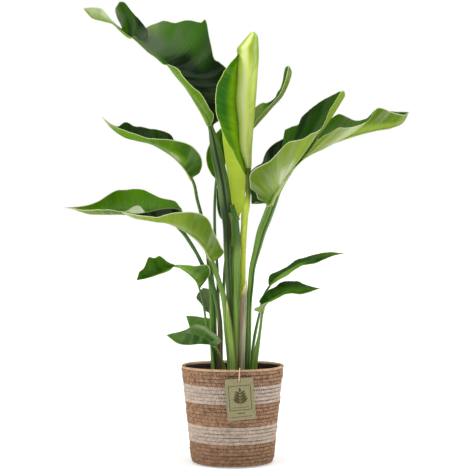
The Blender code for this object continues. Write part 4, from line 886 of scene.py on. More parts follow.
scroll = show("leaf_spear_scroll", scroll_mesh(), "young_leaf", "leaf_spear")
# The flap's tones are partly its own colour and partly painted light and shade.
FLAP_TONE_AND_LIGHT = ((0, 0.8, 0.9, 1, 1), (250, 0.5, 0.7, 1, 1), (500, 0.25, 0.65, 1, 1), (800, 0.1, 0.6, 1, 1),
              (1000, 0.3, 0.7, 1, 1))
flap = blade_mesh("leaf_spear_flap", LEAVES["spear_flap"], 260, (1.6 * MM, 0.8 * MM),
                  (YOUNG_IN, YOUNG_OUT, young_edge), 20, seed=21, tone_and_light_keys=FLAP_TONE_AND_LIGHT)
show("leaf_spear_flap", flap, "young_leaf", "leaf_spear")
wrap = blade_mesh("spear_wrap_blade", LEAVES["spear_wrap"], 200, (1.2 * MM, 0.6 * MM),
                  (YOUNG_WRAP, YOUNG_WRAP, young_edge), 16, pleat=0.00008, seed=22)
show("spear_wrap_blade", wrap, "young_leaf", "spear_wrap")
print("scroll", triangles(scroll.data), "triangles")

# %% [markdown]
# The big leaves get a row about every millimetre, and the small ones fewer, so that pleats of
# 8 mm stay smooth on all of them. A leaf's rib is as thick as the stalk that it grows out of.

# %% Make the mature leaves
# Rows, the radius of the rib in millimetres at the stalk and at the tip, and the kind of leaf.
LEAF_BUILD = {
    "leaf_top_left": (420, 7.0, 1.0, "fresh"), "leaf_right": (460, 8.6, 1.1, "pale"),
    "leaf_left_upper": (260, 2.9, 0.7, "fresh"), "leaf_left_middle": (260, 2.9, 0.7, "light"),
    "leaf_left_front": (260, 5.0, 0.8, "pale"), "leaf_left_low": (190, 2.0, 0.6, "bright"),
    "leaf_narrow": (170, 1.9, 0.6, "light"), "leaf_back_centre": (130, 2.6, 0.7, "bright"),
    "leaf_left_back": (90, 1.8, 0.6, "dull"), "leaf_left_small": (90, 1.8, 0.6, "shaded"),
    "leaf_left_lowest": (170, 2.4, 0.7, "shaded"), "leaf_right_upper": (200, 2.2, 0.6, "bright"),
    "leaf_right_lower": (180, 2.4, 0.6, "light"),
}
# Place along the leaf in thousandths, then the tone at its left margin, left and right of its rib,
# and at its right margin. A tone is partly the leaf's own colour and partly painted light and shade:
# low where a part lies in shadow, and above 1.1 a pale painted sheen.
LEAF_TONE_AND_LIGHT = {
    "leaf_top_left": ((0, 0.7, 0.7, -0.2, -0.2), (280, 0.9, 0.9, -0.3, -0.2), (350, 0.8, 0.8, -0.3, 0.0),
        (400, 0.8, 0.7, -0.3, 0.55), (430, 0.9, 0.6, 0.0, 0.85), (500, 1.2, 0.6, 0.5, 0.8),
        (560, 1.3, 0.6, 0.6, 1.2), (620, 1.2, 0.8, 0.5, 1.5), (645, 0.9, 0.9, 0.2, 1.3),
        (660, 0.9, 0.9, 0.1, 0.0), (700, 0.9, 0.8, 0.1, 0.0), (745, 0.8, 0.8, 0.4, 0.3),
        (770, 0.8, 0.8, 0.2, 0.6), (800, 0.8, 0.8, 0.4, 0.6), (825, 1.0, 1.0, 1.0, 1.7),
        (900, 1.4, 1.2, 0.8, 1.7), (930, 1.7, 1.4, 0.6, 0.5), (1000, 1.8, 1.6, 1.0, 1.0)),
    "leaf_right": ((0, 0.3, 0.2, 0.2, 0.1), (60, 0.4, 0.3, 0.3, 0.3), (100, 0.4, 0.3, 0.9, 0.5),
        (132, 0.4, 0.3, 1.8, 0.8), (136, 0.9, 0.4, 1.8, 0.9), (156, 0.9, 0.4, 1.8, 1.0),
        (160, 0.7, 0.5, 1.6, 0.8), (205, 0.5, 0.5, 1.4, 0.9), (300, 1.2, 0.9, 0.3, 1.2),
        (500, 1.2, 0.8, 1.0, 1.5), (620, 0.9, 0.7, 1.1, 0.5), (800, 0.7, 0.6, 1.1, 0.3),
        (1000, 0.5, 0.5, 0.9, 0.9)),
    "leaf_left_upper": ((0, 0.1, 0.3, 0.2, 0.3), (250, 0.2, 0.5, 0.1, 0.2), (330, 0.3, 1.5, 0.2, 0.3),
        (450, 0.5, 1.4, 0.2, 0.4), (560, 0.6, 0.8, 0.2, 0.5), (700, 0.9, 0.8, 0.1, 0.3),
        (1000, 1.6, 1.6, 0.6, 0.6)),
    "leaf_left_middle": ((0, 0.5, 0.3, 0.1, 0.5), (150, 0.1, 0.1, 0.1, 0.6), (270, 0.8, 0.5, 0.4, 0.7),
        (310, 1.9, 1, 0.4, 0.8), (400, 1.9, 1.2, 0.4, 0.9), (450, 0.5, 0.4, 0.5, 0.9),
        (700, 0.4, 0.2, 0.4, 0.7), (1000, 0.8, 0.8, 0.8, 0.9)),
    "leaf_left_front": ((0, 0.0, 0.3, 0.1, 0.1), (150, 0.0, 0.3, 0.1, 0.1), (350, 0.2, 0.4, 0.1, 0.1),
        (520, 0.7, 0.9, 0.1, 0.1), (1000, 1.5, 1.5, 0.3, 0.3)),
    "leaf_left_low": ((0, 0.2, 0.2, 0.2, 0.4), (300, 0.5, 0.8, 0.2, 0.3), (450, 1.3, 1.3, 0.4, 0.4),
        (550, 1.4, 1, 0.4, 0.4), (750, 1.2, 0.6, 0.3, 0.5), (1000, 1.2, 0.5, 0.4, 0.5)),
    "leaf_narrow": ((0, 1.7, 1.6, 1.2, 1.0), (200, 1.7, 1.5, 1.2, 1.0), (330, 0.9, 0.7, 1.0, 1.0),
        (420, 0.0, 0, 0.6, 0.6), (500, 0.4, 0.2, 0.6, 0.6), (1000, 0.6, 0.5, 0.5, 0.5)),
    "leaf_back_centre": ((0, 0.6, 0.5, 0.3, 0.3), (1000, 0.6, 0.6, 0.3, 0.3)),
    "leaf_left_small": ((0, 0.9, 0.9, 1.0, 1.0), (1000, 0.9, 0.9, 1.1, 1.1)),
    "leaf_left_lowest": ((0, 0.1, 0.1, 0.1, 1.0), (150, 0.1, 0.1, 0.3, 1.9), (400, 0.1, 0.1, 0.4, 1.8),
        (600, 0.3, 0.3, 0.4, 0.6), (1000, 0.5, 0.5, 0.6, 0.6)),
    "leaf_right_upper": ((0, 0.5, 0.3, 1.2, 1.2), (400, 0.3, 0.3, 1.2, 1.2), (600, 0.4, 0.4, 0.2, 0.2),
        (1000, 0.8, 0.8, 0.6, 0.6)),
    "leaf_right_lower": ((0, 0.0, 0.0, 0.6, 0.6), (280, 0.1, 0.2, 0.8, 0.9), (420, 0.3, 0.3, 0.6, 0.5),
        (1000, 0.4, 0.3, 0.3, 0.3)),
}
for number, (leaf_name, (rows, stalk_end, tip_end, kind)) in enumerate(LEAF_BUILD.items()):
    mesh = blade_mesh(leaf_name + "_blade", LEAVES[leaf_name], rows, (stalk_end * MM, tip_end * MM),
                      LEAF_FACES[kind], seed=number, tone_and_light_keys=LEAF_TONE_AND_LIGHT.get(leaf_name, EVEN_TONE))
    show(leaf_name + "_blade", mesh, "leaf", leaf_name)
    print(leaf_name, triangles(mesh), "triangles")

# One more small leaf stands low behind the others, where little of it shows.
back_low = blade_mesh("leaf_back_low_blade", LEAVES["leaf_back_low"], 80, (1.5 * MM, 0.6 * MM),
                      LEAF_FACES["fresh"], 12, seed=40)
show("leaf_back_low_blade", back_low, "leaf")

# %% [markdown]
# ## Stalks
# Each leaf has its own stalk, and the foot of a stalk wraps round the next one as a sheath. A
# stalk is ridged lengthways, with a channel along its inner side. Its route and its radius change
# together, so one table in millimetres holds (x, y, z, radius).

# %% Stalk routes
STALKS = {
    "stalk_top_left": ((-50, -2, 696, 4.5), (-44, -2, 681, 5.7), (-38, -3, 657, 9.4), (-32, -5, 626, 11.8),
        (-25, -6, 595, 12.2), (-20, -6, 571, 12.4), (-15, -6, 534, 12.6), (-12, -6, 510, 11.8),
        (-10, -4, 483, 10.0), (-9, -3, 443, 9.4), (-8, -2, 402, 8.6), (-4, 0, 330, 7.8), (-1, 2, 279, 6.5),
        (1, 3, 191, 6.1)),
    "stalk_clasping": ((-2, -20, 524, 5.3), (2, -20, 508, 6.5), (4, -19, 495, 8.3), (5, -18, 481, 8.9),
        (7, -18, 453, 8.9), (7, -18, 412, 8.5), (8, -17, 372, 7.7), (8, -18, 331, 6.9), (8, -18, 280, 6.3),
        (7, -18, 193, 6.1)),
    "stalk_spear": ((32, -10, 599, 4.5), (32, -10, 575, 5.3), (32, -10, 544, 5.1), (29, -9, 520, 6.1),
        (25, -8, 504, 7.3), (24, -7, 483, 6.7), (22, -5, 457, 6.9), (22, -3, 432, 5.9), (21, -2, 402, 6.3),
        (21, 0, 371, 6.1), (20, 3, 330, 5.3), (18, 4, 191, 5.3)),
    "stalk_right": ((121, -22, 599, 5.3), (104, -22, 574, 6.5), (90, -21, 550, 7.9), (83, -20, 532, 9.1),
        (76, -20, 514, 9.7), (68, -20, 493, 9.9), (60, -20, 473, 9.5), (50, -19, 435, 7.9),
        (40, -17, 394, 6.5), (37, -15, 361, 6.1), (34, -12, 331, 6.1), (32, -10, 270, 6.5),
        (31, -8, 229, 7.1), (29, -8, 192, 7.7)),
    "stalk_left_upper": ((-86, -5, 583, 2.9), (-80, -4, 571, 3.1), (-72, 4, 535, 3.3), (-65, 10, 508, 3.5),
        (-56, 18, 463, 4.1), (-48, 24, 407, 5.8), (-44, 26, 370, 6.6), (-41, 24, 329, 7.2),
        (-40, 21, 288, 7.4), (-39, 19, 247, 7.6), (-37, 17, 190, 7.6)),
    "stalk_left_middle": ((-129, 20, 501, 2.7), (-123, 20, 495, 3.1), (-113, 20, 480, 3.5),
        (-100, 20, 466, 3.9), (-87, 19, 447, 3.9), (-73, 17, 424, 3.9), (-61, 15, 401, 4.3),
        (-48, 12, 381, 4.9), (-40, 9, 356, 5.3), (-33, 7, 328, 5.3), (-27, 5, 293, 5.3), (-25, 4, 262, 5.5),
        (-25, 4, 234, 5.5), (-26, 5, 191, 5.7)),
    "stalk_left_front": ((-47, -21, 420, 4.9), (-41, -20, 406, 5.9), (-33, -19, 386, 5.5),
        (-27, -18, 368, 5.3), (-21, -16, 349, 5.5), (-16, -13, 329, 6.5), (-10, -8, 290, 8.6),
        (-4, -3, 245, 10.0), (-1, 0, 191, 10.2)),
    "stalk_left_low": ((-71, 8, 362, 1.8), (-67, 8, 351, 2.0), (-60, 7, 324, 2.3), (-56, 8, 297, 2.3),
        (-50, 9, 264, 2.5), (-42, 7, 227, 2.7), (-37, 5, 191, 2.9)),
    "stalk_back_centre": ((-33, 60, 586, 2.7), (-35, 59, 563, 3.1), (-37, 55, 523, 3.3),
        (-37, 50, 486, 3.3), (-36, 44, 453, 3.3), (-32, 36, 407, 3.3), (-29, 30, 329, 3.3),
        (-25, 27, 267, 3.3), (-22, 26, 189, 3.3)),
    "stalk_narrow": ((41, 25, 684, 2.1), (37, 26, 659, 2.5), (33, 28, 618, 2.7), (23, 31, 546, 2.9),
        (7, 32, 490, 3.1), (-7, 32, 453, 2.9), (-15, 32, 407, 2.9), (-18, 31, 349, 2.9),
        (-16, 30, 287, 3.1), (-8, 30, 188, 3.3)),
    "stalk_left_back": ((-47, 30, 306, 1.9), (-43, 30, 267, 2.1), (-38, 29, 226, 2.3), (-34, 28, 188, 2.5)),
    "stalk_left_small": ((-47, 39, 267, 1.9), (-37, 40, 241, 2.1), (-28, 40, 187, 2.5)),
    "stalk_left_lowest": ((-41, -30, 244, 2.4), (-33, -29, 234, 2.6), (-27, -27, 223, 2.6),
        (-21, -23, 208, 2.6), (-15, -20, 189, 2.8)),
    "stalk_right_upper": ((81, -4, 367, 2.0), (76, -3, 359, 2.2), (67, 0, 345, 2.5), (60, 3, 326, 2.5),
        (55, 4, 301, 2.5), (50, 4, 279, 2.9), (45, 5, 254, 3.3), (42, 6, 232, 3.1), (39, 8, 190, 3.1)),
    "stalk_right_lower": ((63, -33, 314, 2.6), (60, -32, 304, 2.8), (57, -30, 281, 3.0),
        (54, -27, 259, 3.4), (51, -25, 242, 4.7), (48, -23, 226, 5.9), (44, -20, 193, 6.3)),
}

# %% [markdown]
# ## Dry sheaths
# An old stalk has died back to a papery sheath: brown along one side, silvery on the other, and
# cream at its tip. Smaller ones cling to the stalks' feet, and the stalk that clasps the young leaf
# ends in a torn green collar. Each is a thin sheet spanned between two edges, hollow behind.

# %% Papery finishes
def paper_face(name, brown, body, light, tip, reach):
    """Dry plant paper, streaked lengthways: brown from its first edge in to its reach, and another
    colour at its tip."""
    finish = Finish(name, 0.75, 0.2)
    across, upward = finish.held("across"), finish.held("upward")
    streak = finish.drawn_out((across, 9.0), (upward, 2.4), detail=4, rough=0.6)
    skin = finish.mix(finish.span(streak, 0.35, 0.65), body, light)
    from_edge = finish.span(across, reach - 0.35, reach, 1, 0)
    stain = finish.sums("MULTIPLY", from_edge, finish.span(streak, 0.2, 0.6, 1, 0.6))
    skin = finish.mix(stain, skin, brown)
    skin = finish.mix(finish.span(upward, 0.72, 0.95), skin, tip)
    finish.colour(skin)
    finish.bump(streak, 0.5, 0.0012)
    finish.let_light_through(skin, 0.15)
    return finish.material

# %% The sheaths
PAPER_THICK = 0.0006
# For each: its finish, its bulge, its material slot, and its two edges. An edge is a list of places
# in thousandths and points in millimetres.
SHEATHS = {
    "dry_sheath_paper": (
        paper_face("dry_sheath_silver", (104, 66, 48), (134, 134, 92), (196, 198, 170), (224, 210, 160),
                   0.72), 0.35, "dry_sheath",
        ((0, 8, -18, 180), (180, 10, -19, 240), (400, 14, -21, 285), (560, 16, -22, 318),
         (740, 18, -23, 338), (900, 23, -24, 356), (1000, 29, -25, 374)),
        ((0, 24, -19, 180), (180, 26, -20, 240), (400, 28, -22, 285), (560, 28.5, -23, 318),
         (740, 29, -24, 338), (900, 29.5, -25, 358), (1000, 29.5, -25, 375))),
    "dry_sheath_pale": (
        paper_face("dry_sheath_green_cream", (112, 78, 46), (112, 154, 56), (164, 186, 100), (200, 196, 130),
                   0.36), 0.2, "dry_sheath",
        ((0, 10, -25, 180), (330, 4, -26, 240), (640, -3, -26, 291), (1000, -11, -25, 329)),
        ((0, -4, -22, 180), (230, -7, -23, 230), (540, -11, -25, 272), (900, -12.5, -25, 321),
         (1000, -12, -25, 329))),
    "dry_sheath_brown": (
        paper_face("dry_sheath_old_brown", (70, 40, 40), (110, 76, 66), (150, 118, 92), (104, 110, 60), 0.7),
        0.15, "dry_sheath",
        ((0, -31, -7, 180), (300, -31, -5, 238), (600, -28, -4, 290), (1000, -30, -4, 350)),
        ((0, -20, -8, 180), (300, -22, -6, 238), (600, -25.5, -4, 290), (1000, -28.5, -4, 350))),
    "stalk_collar": (
        paper_face("stalk_collar_green", (120, 112, 50), (70, 104, 34), (104, 140, 56), (96, 130, 50), 0.36),
        0.25, "stalk",
        ((0, -3, -22, 440), (600, -3, -22, 482), (1000, -8, -20, 508)),
        ((0, 8, -21, 440), (400, 9, -21, 470), (620, 8, -21, 484), (800, 12, -20, 492), (880, 15, -19, 497),
         (940, 9, -20, 501), (1000, 3, -20, 509))),
}


def sheath_mesh(name, finish, bulge, first, second, rows=140, columns=16):
    """A sheath spanned between two edges, bulging to the front, with lengthways folds."""
    places = np.linspace(0, 1000, rows + 1)
    left, right = through(first, places) * MM, through(second, places) * MM
    across = np.linspace(0, 1, columns + 1)
    grid = left[:, None] + across[None, :, None] * (right - left)[:, None]
    wide = np.linalg.norm(right - left, axis=1)[:, None]
    folds = 0.04 * np.sin(across * 14 + places[:, None] / 90)
    grid[:, :, 1] -= (bulge * np.sin(math.pi * across)[None] + folds) * wide
    held = {"across": across[None], "upward": places[:, None] / 1000}
    return thin_sheet(name, grid, PAPER_THICK, held, (finish,) * 3)


# The CAD has a solid only for the large papery one.
STANDS_FOR = {"dry_sheath_paper": ("dry_sheath",)}
for sheath_name, (finish, bulge, slot_name, first, second) in SHEATHS.items():
    mesh = sheath_mesh(sheath_name + "_sheet", finish, bulge, first, second)
    show(sheath_name + "_sheet", mesh, slot_name, *STANDS_FOR.get(sheath_name, ()))
print(len(SHEATHS), "sheaths")

# %% Stalk finishes
SOIL_HEIGHT, BAND_FADE = 0.19, 0.02


def stalk_face(name, shade, body, light, foot=(110, 150, 62), band=None, foot_top=0.36):
    """A stalk's skin: fine lengthways ridges, painted shade in the channel, and yellower towards the soil.

    A band is a colour, the heights it fades in and out at, and its greatest share.
    """
    finish = Finish(name, 0.42, 0.3)
    cos, sin, run = finish.held("rod_cos"), finish.held("rod_sin"), finish.held("rod_place")
    ridges = finish.drawn_out((cos, 5.0), (sin, 5.0), (run, 9.0), scale=1.6, detail=4, rough=0.6)
    patches = finish.noise(finish.place(scale=(1, 1, 0.35)), 28.0, 3)
    skin = finish.mix(finish.span(ridges, 0.34, 0.66), body, light)
    skin = finish.mix(finish.sums("MULTIPLY", finish.span(patches, 0.4, 0.7), 0.35), skin, shade)
    # Painted shade darkens the channel.
    skin = finish.mix(finish.span(cos, 0.93, 0.995), skin, shade)
    height = finish.height()
    skin = finish.mix(finish.span(height, SOIL_HEIGHT, foot_top, 0.6, 0), skin, foot)
    if band:
        colour, low, high, share = band
        fade_in = finish.span(height, low - BAND_FADE, low + BAND_FADE, 0, share)
        fade_out = finish.span(height, high - BAND_FADE, high + BAND_FADE, 1, 0)
        skin = finish.mix(finish.sums("MULTIPLY", fade_in, fade_out), skin, colour)
    finish.colour(skin)
    finish.rough(finish.span(ridges, 0.3, 0.7, 0.36, 0.5))
    finish.bump(ridges, 0.35, 0.001)
    return finish.material


STALK_FACES = {
    "green": stalk_face("stalk_green", (28, 60, 10), (74, 116, 26), (114, 148, 60), (84, 116, 30)),
    "grey": stalk_face("stalk_grey_green", (22, 44, 12), (74, 106, 42), (114, 140, 82), (96, 130, 30),
                       ((26, 44, 4), 0.45, 0.53, 0.65), 0.48),
    "moss": stalk_face("stalk_moss", (44, 76, 18), (86, 124, 34), (126, 156, 74), (98, 130, 42),
                       ((44, 80, 22), 0.44, 0.56, 0.75)),
    "dark": stalk_face("stalk_dark", (26, 50, 18), (58, 98, 32), (92, 130, 58)),
    "lime": stalk_face("stalk_lime", (100, 130, 14), (190, 212, 40), (216, 228, 96),
                       band=((66, 90, 0), 0.535, 0.7, 0.92)),
    "fresh": stalk_face("stalk_fresh", (56, 96, 22), (118, 164, 46), (160, 192, 84)),
}

# %% Make the stalks
# The face, and the way that the channel looks.
STALK_BUILD = {
    "stalk_top_left": ("grey", (-0.05, -1, 0.1)), "stalk_clasping": ("moss", (-0.9, -0.5, 0)),
    "stalk_spear": ("lime", (0.2, 1, 0)), "stalk_right": ("green", (0.5, -0.8, -0.2)),
    "stalk_left_upper": ("green", (0.5, -0.8, 0)), "stalk_left_middle": ("dark", (0.5, 0.8, 0)),
    "stalk_left_front": ("moss", (0.8, 0.6, 0)), "stalk_left_low": ("dark", (0.5, 0.8, 0)),
    "stalk_back_centre": ("dark", (1, 0.1, 0)), "stalk_narrow": ("dark", (0, 1, 0)),
    "stalk_left_back": ("dark", (0, 1, 0)), "stalk_left_small": ("dark", (0, 1, 0)),
    "stalk_left_lowest": ("green", (0, 1, 0)), "stalk_right_upper": ("dark", (0.2, 1, 0)),
    "stalk_right_lower": ("green", (-0.9, -0.3, 0)),
}


INTO_SOIL, STALK_CHANNEL, STALK_ROWS = 0.012, 0.18, 90


def stalk_mesh(name, keys, face, groove):
    """A stalk through its keys, carried a little way into the soil."""
    table = np.array(keys, float) * MM
    table = np.vstack([table, table[-1] - (0, 0, INTO_SOIL, 0)])
    run = lengths(table[:, :3])
    smooth = through(np.column_stack([run, table]), np.linspace(0, run[-1], STALK_ROWS + 1))
    return swept_rod(name, smooth[:, :3], smooth[:, 3], STALK_FACES[face], groove, STALK_CHANNEL)


for stalk_name, (face, groove) in STALK_BUILD.items():
    mesh = stalk_mesh(stalk_name + "_skin", STALKS[stalk_name], face, groove)
    show(stalk_name + "_skin", mesh, "stalk", stalk_name)
print(len(STALK_BUILD), "stalks")

# %% [markdown]
# ## The plaited basket
# The basket is one long three-strand plait of jute, stitched to itself row on row. Two bands are
# bleached. A plait is three strands that swing from side to side and in and out, a third of a
# swing apart: sideways once in each repeat, and in and out twice. That formula makes each row.

# %% Jute finishes
def jute(name, dark, body, light, inside=None):
    """Coarse plant fibre: streaks along the strand, and a different shade from strand to strand."""
    finish = Finish(name, 0.85, 0.15)
    run, cos, sin = finish.held("strand_run"), finish.held("strand_cos"), finish.held("strand_sin")
    fibre = finish.drawn_out((run, 60.0), (cos, 3.5), (sin, 3.5), scale=1.6, detail=4, rough=0.7)
    shade = finish.noise(finish.place(), 150.0, 4, 0.75)
    yarn = finish.mix(finish.span(shade, 0.36, 0.64), body, light)
    yarn = finish.mix(finish.span(fibre, 0.3, 0.55, 0.55, 0), yarn, dark)
    # Painted shade darkens a strand where it dives behind the others.
    yarn = finish.mix(finish.span(finish.held("strand_dip"), -1.25, 0.1, 0, 1), yarn, dark)
    # Painted shade makes the basket a little darker towards its foot.
    yarn = finish.mix(finish.span(finish.height(), 0.0, 0.075, 0.32, 0), yarn, dark)
    if inside:
        # Painted light: the side that faces the middle of the basket is paler, where it lies in shade.
        way = finish.add("NewGeometry").outputs["Normal"]
        facing = finish.from_vectors("DOT_PRODUCT", finish.place(scale=(1, 1, 0)), way)
        yarn = finish.mix(finish.span(facing, -0.06, 0.02), inside, yarn)
    finish.colour(yarn)
    finish.bump(fibre, 0.5, 0.0008)
    return finish.material


NATURAL = jute("natural_jute_fibre", (74, 48, 34), (124, 93, 70), (176, 142, 114))
WHITE = jute("white_jute_fibre", (106, 88, 74), (166, 148, 134), (200, 186, 172))
# The rim's last colour is painted light on its inner side.
RIM_JUTE = jute("rim_jute_fibre", (104, 76, 54), (176, 142, 108), (214, 184, 150), (238, 210, 176))
# The rim's lining is pale: painted light where the rim's inner side lies in shade.
RIM_LINING_PAINTED_LIGHT = flecked("rim_jute_lining_painted_light", 0.9, 0.1, (160, 4, 0.7), (204, 168, 130), (240, 214, 180)).material
# The core seen through the gaps is dark jute: painted shade.
SHADE_CORE = flecked("jute_core_painted_shade", 0.95, 0.05, (90,), (70, 42, 26), (104, 68, 44)).material

# %% One row of plait
SWINGS = 38
STEPS_A_SWING = 9
STRAND_SIDES = 8
# How far a strand swings outward and upward, and how far it reaches from its middle those two ways.
WALL_PLAIT = (0.0015, 0.0021, 0.0014, 0.0020)
RIM_PLAIT = (0.0015, 0.0011, 0.0019, 0.0016)
FLOOR_PLAIT = (0.0011, 0.00185, 0.0013, 0.00185)


def plait_row(radius, height, swings, plait, draw, flat=False):
    """Points, faces and held values of one ring of plait. flat lays it down, as in the basket's floor."""
    swing_out, swing_up, strand_out, strand_up = plait
    steps = swings * STEPS_A_SWING
    turn = round_turn(steps)
    outward = np.stack([np.cos(turn), np.sin(turn), np.zeros(steps)], axis=-1)
    upward = np.broadcast_to(np.array([0.0, 0.0, 1.0]), outward.shape)
    start = draw.uniform(0, 6.3)
    sway = 0.0004 * np.sin(turn * 3 + start) + 0.0003 * np.sin(turn * 7 + 2 * start)
    points, faces, held = [], [], []
    section = round_turn(STRAND_SIDES)
    for strand in range(3):
        phase = swings * turn + strand * 2 * math.pi / 3 + start
        sideways = (swing_up * np.sin(phase) + 0.5 * sway)[:, None]
        across = (swing_out * np.sin(2 * phase) + sway + draw.normal(0, 0.00012, steps))[:, None]
        if flat:
            middle = outward * (radius + sideways) + upward * (height - across)
        else:
            middle = outward * (radius + across) + upward * (height + sideways)
        along = unit(np.roll(middle, -1, axis=0) - np.roll(middle, 1, axis=0))
        face = -upward if flat else outward
        face = unit(face - along * np.sum(face * along, axis=1)[:, None])
        edge = np.cross(along, face)
        fat = 1 + 0.08 * np.sin(turn * 5 + start + strand)[:, None, None]
        ring = (middle[:, None] + fat * strand_out * np.cos(section)[None, :, None] * face[:, None]
                + fat * strand_up * np.sin(section)[None, :, None] * edge[:, None])
        index = np.arange(steps * STRAND_SIDES).reshape(steps, STRAND_SIDES) + strand * steps * STRAND_SIDES
        right, over = np.roll(index, -1, axis=1), np.roll(index, -1, axis=0)
        faces.append(quads(index, right, np.roll(right, -1, axis=0), over))
        points.append(ring.reshape(-1, 3))
        run = np.cumsum(np.linalg.norm(np.diff(middle, axis=0, prepend=middle[:1]), axis=1))
        run = np.repeat(run + 3.1 * strand + start, STRAND_SIDES)
        dip = -np.sin(2 * phase)[:, None] - np.cos(section)[None]
        held.append(np.stack([run, np.tile(np.cos(section), steps), np.tile(np.sin(section), steps),
                              dip.ravel()], axis=-1))
    return np.concatenate(points), np.concatenate(faces), np.concatenate(held)


def plait_mesh(name, rows, finish, core, core_finish=SHADE_CORE):
    """Rows of plait in one mesh, with a plain core inside them that closes the gaps, dark by default as
    painted shade.
    """
    every = rows + [core]
    counts = [len(points) for points, _, _ in every]
    faces = [cells + before for (_, cells, _), before in zip(every, np.cumsum([0] + counts))]
    slots = np.repeat([0, 1], [sum(len(face) for face in faces[:-1]), len(faces[-1])])
    values = np.concatenate([value for _, _, value in every])
    held = dict(zip(("strand_run", "strand_cos", "strand_sin", "strand_dip"), values.T))
    return new_mesh(name, np.concatenate([points for points, _, _ in every]).tolist(),
                    np.concatenate(faces).tolist(), (finish, core_finish), slots=slots, held=held)


def turned_core(outline, around=96):
    """A closed ring turned from an outline of (radius, height) points, listed anticlockwise."""
    ring = np.array([(r * math.cos(a), r * math.sin(a), h) for a in round_turn(around) for r, h in outline])
    index = np.arange(len(ring)).reshape(around, len(outline))
    after, over = np.roll(index, -1, axis=1), np.roll(index, -1, axis=0)
    return ring, quads(index, over, np.roll(over, -1, axis=1), after), np.zeros((len(ring), 4))


def tube(inner, outer, low, high):
    """A core with a square section between two radii and two heights."""
    return turned_core([(inner, high), (inner, low), (outer, low), (outer, high)])

# %% [markdown]
# The frame says where each band starts and ends, and how wide the basket is there. A row is about
# 7 mm high. The foot is rounded, so the lowest row is drawn in a little.

# %% Bands, rim and floor of the basket
ROW = 0.0073
ROW_SET_IN, CORE_SET_IN, CORE_THICK = 0.0032, 0.0028, 0.0010
RIM_ROW_IN, RIM_CORE_IN = 0.0036, 0.0044
FIRST_RING, FLOOR_CORE = 0.0055, (0.0030, 0.0042)
FOOT_RADIUS, MOUTH_RADIUS, BASKET_TALL, CORNER = 0.0845, 0.105, 0.198, 0.012


def outside(height):
    """The basket's outer radius at a height."""
    radius = FOOT_RADIUS + (MOUTH_RADIUS - FOOT_RADIUS) * height / BASKET_TALL
    drop = max(CORNER - height, 0)
    return radius - CORNER + math.sqrt(CORNER ** 2 - drop ** 2)


draw_basket = np.random.default_rng(7)
BANDS = {
    "basket_band_low": NATURAL, "basket_band_white_low": WHITE, "basket_band_middle": NATURAL,
    "basket_band_white_high": WHITE, "basket_band_top": NATURAL,
}
for node, finish in BANDS.items():
    low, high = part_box(node)
    count = max(round((high.z - max(low.z, 0.003)) / ROW), 1)
    start = high.z - count * ROW
    rows = []
    for row in range(count):
        height = start + (row + 0.5) * ROW
        reach = outside(height) - ROW_SET_IN + draw_basket.normal(0, 0.00025)
        rows.append(plait_row(reach, height, SWINGS, WALL_PLAIT, draw_basket))
    skin = [(outside(h) - CORE_SET_IN, h) for h in np.linspace(start, high.z, count + 1)]
    outline = [(r - CORE_THICK, h) for r, h in skin][::-1] + skin
    mesh = plait_mesh(node + "_plait", rows, finish, turned_core(outline))
    show(node + "_plait", mesh, "white_jute" if finish is WHITE else "natural_jute", node)
    print(node, count, "rows,", triangles(mesh), "triangles")

rim_low, rim_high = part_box("basket_rim")
rim_row = plait_row(MOUTH_RADIUS - RIM_ROW_IN, (rim_low.z + rim_high.z) / 2, SWINGS, RIM_PLAIT, draw_basket)
rim_core = tube(MOUTH_RADIUS - RIM_CORE_IN, MOUTH_RADIUS - CORE_SET_IN, rim_low.z, rim_high.z - 0.0015)
rim_mesh = plait_mesh("basket_rim_plait", [rim_row], RIM_JUTE, rim_core, RIM_LINING_PAINTED_LIGHT)
show("basket_rim_plait", rim_mesh, "natural_jute", "basket_rim")

floor_low, floor_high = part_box("basket_floor")
floor_reach = floor_high.x - 0.002
floor_height = (floor_low.z + floor_high.z) / 2
floor_rows = [plait_row(radius, floor_height, max(round(radius / 0.1 * SWINGS), 3), FLOOR_PLAIT, draw_basket,
                        flat=True)
              for radius in np.arange(FIRST_RING, floor_reach, ROW)]
floor_core = tube(0.0005, floor_reach, *FLOOR_CORE)
floor_mesh = plait_mesh("basket_floor_plait", floor_rows, NATURAL, floor_core)
show("basket_floor_plait", floor_mesh, "natural_jute", "basket_floor")
print("floor", len(floor_rows), "rings,", triangles(floor_mesh), "triangles")

# %% [markdown]
# ## Pot and soil
# Only the black lip of the nursery pot shows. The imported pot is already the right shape, so it
# keeps its mesh and gets a moulded plastic finish. The soil is a lumpy disc with bark on it.

# %% Black plastic for the pot
plastic = Finish("black_pot_plastic", 0.55, 0.12)
plastic_grain = plastic.noise(plastic.place(), 900, 2)
plastic.colour(plastic.mix(plastic.noise(plastic.place(), 30), (16, 10, 8), (30, 21, 17)))
plastic.rough(plastic.span(plastic_grain, 0.3, 0.7, 0.5, 0.7))
plastic.bump(plastic_grain, 0.2, 0.0004)
pot = bpy.data.objects["nursery_pot"]
pot.data.materials.clear()
pot.data.materials.append(plastic.material)
print("the pot has", len(pot.data.polygons), "faces")

# %% Soil with bark
soil_finish = flecked("soil_crumbs", 0.95, 0.1, (260, 5, 0.7), (22, 14, 12), (66, 44, 34), (0.35, 0.7),
                      (1.0, 0.003))
bark_finish = flecked("bark_chip", 0.85, 0.15, (220, 4, 0.6), (34, 20, 16), (92, 62, 44), (0.3, 0.7),
                      (0.8, 0.0015), scale=(1, 1, 4))

soil_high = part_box("soil")[1]
SOIL_MEAN, SOIL_UNDER, LUMP = soil_high.z - 0.0032, soil_high.z - 0.012, 0.0012
CHIP_SIZE, CHIP_HEIGHT = (0.0022, 0.0052), soil_high.z - 0.0030
draw_soil = np.random.default_rng(11)


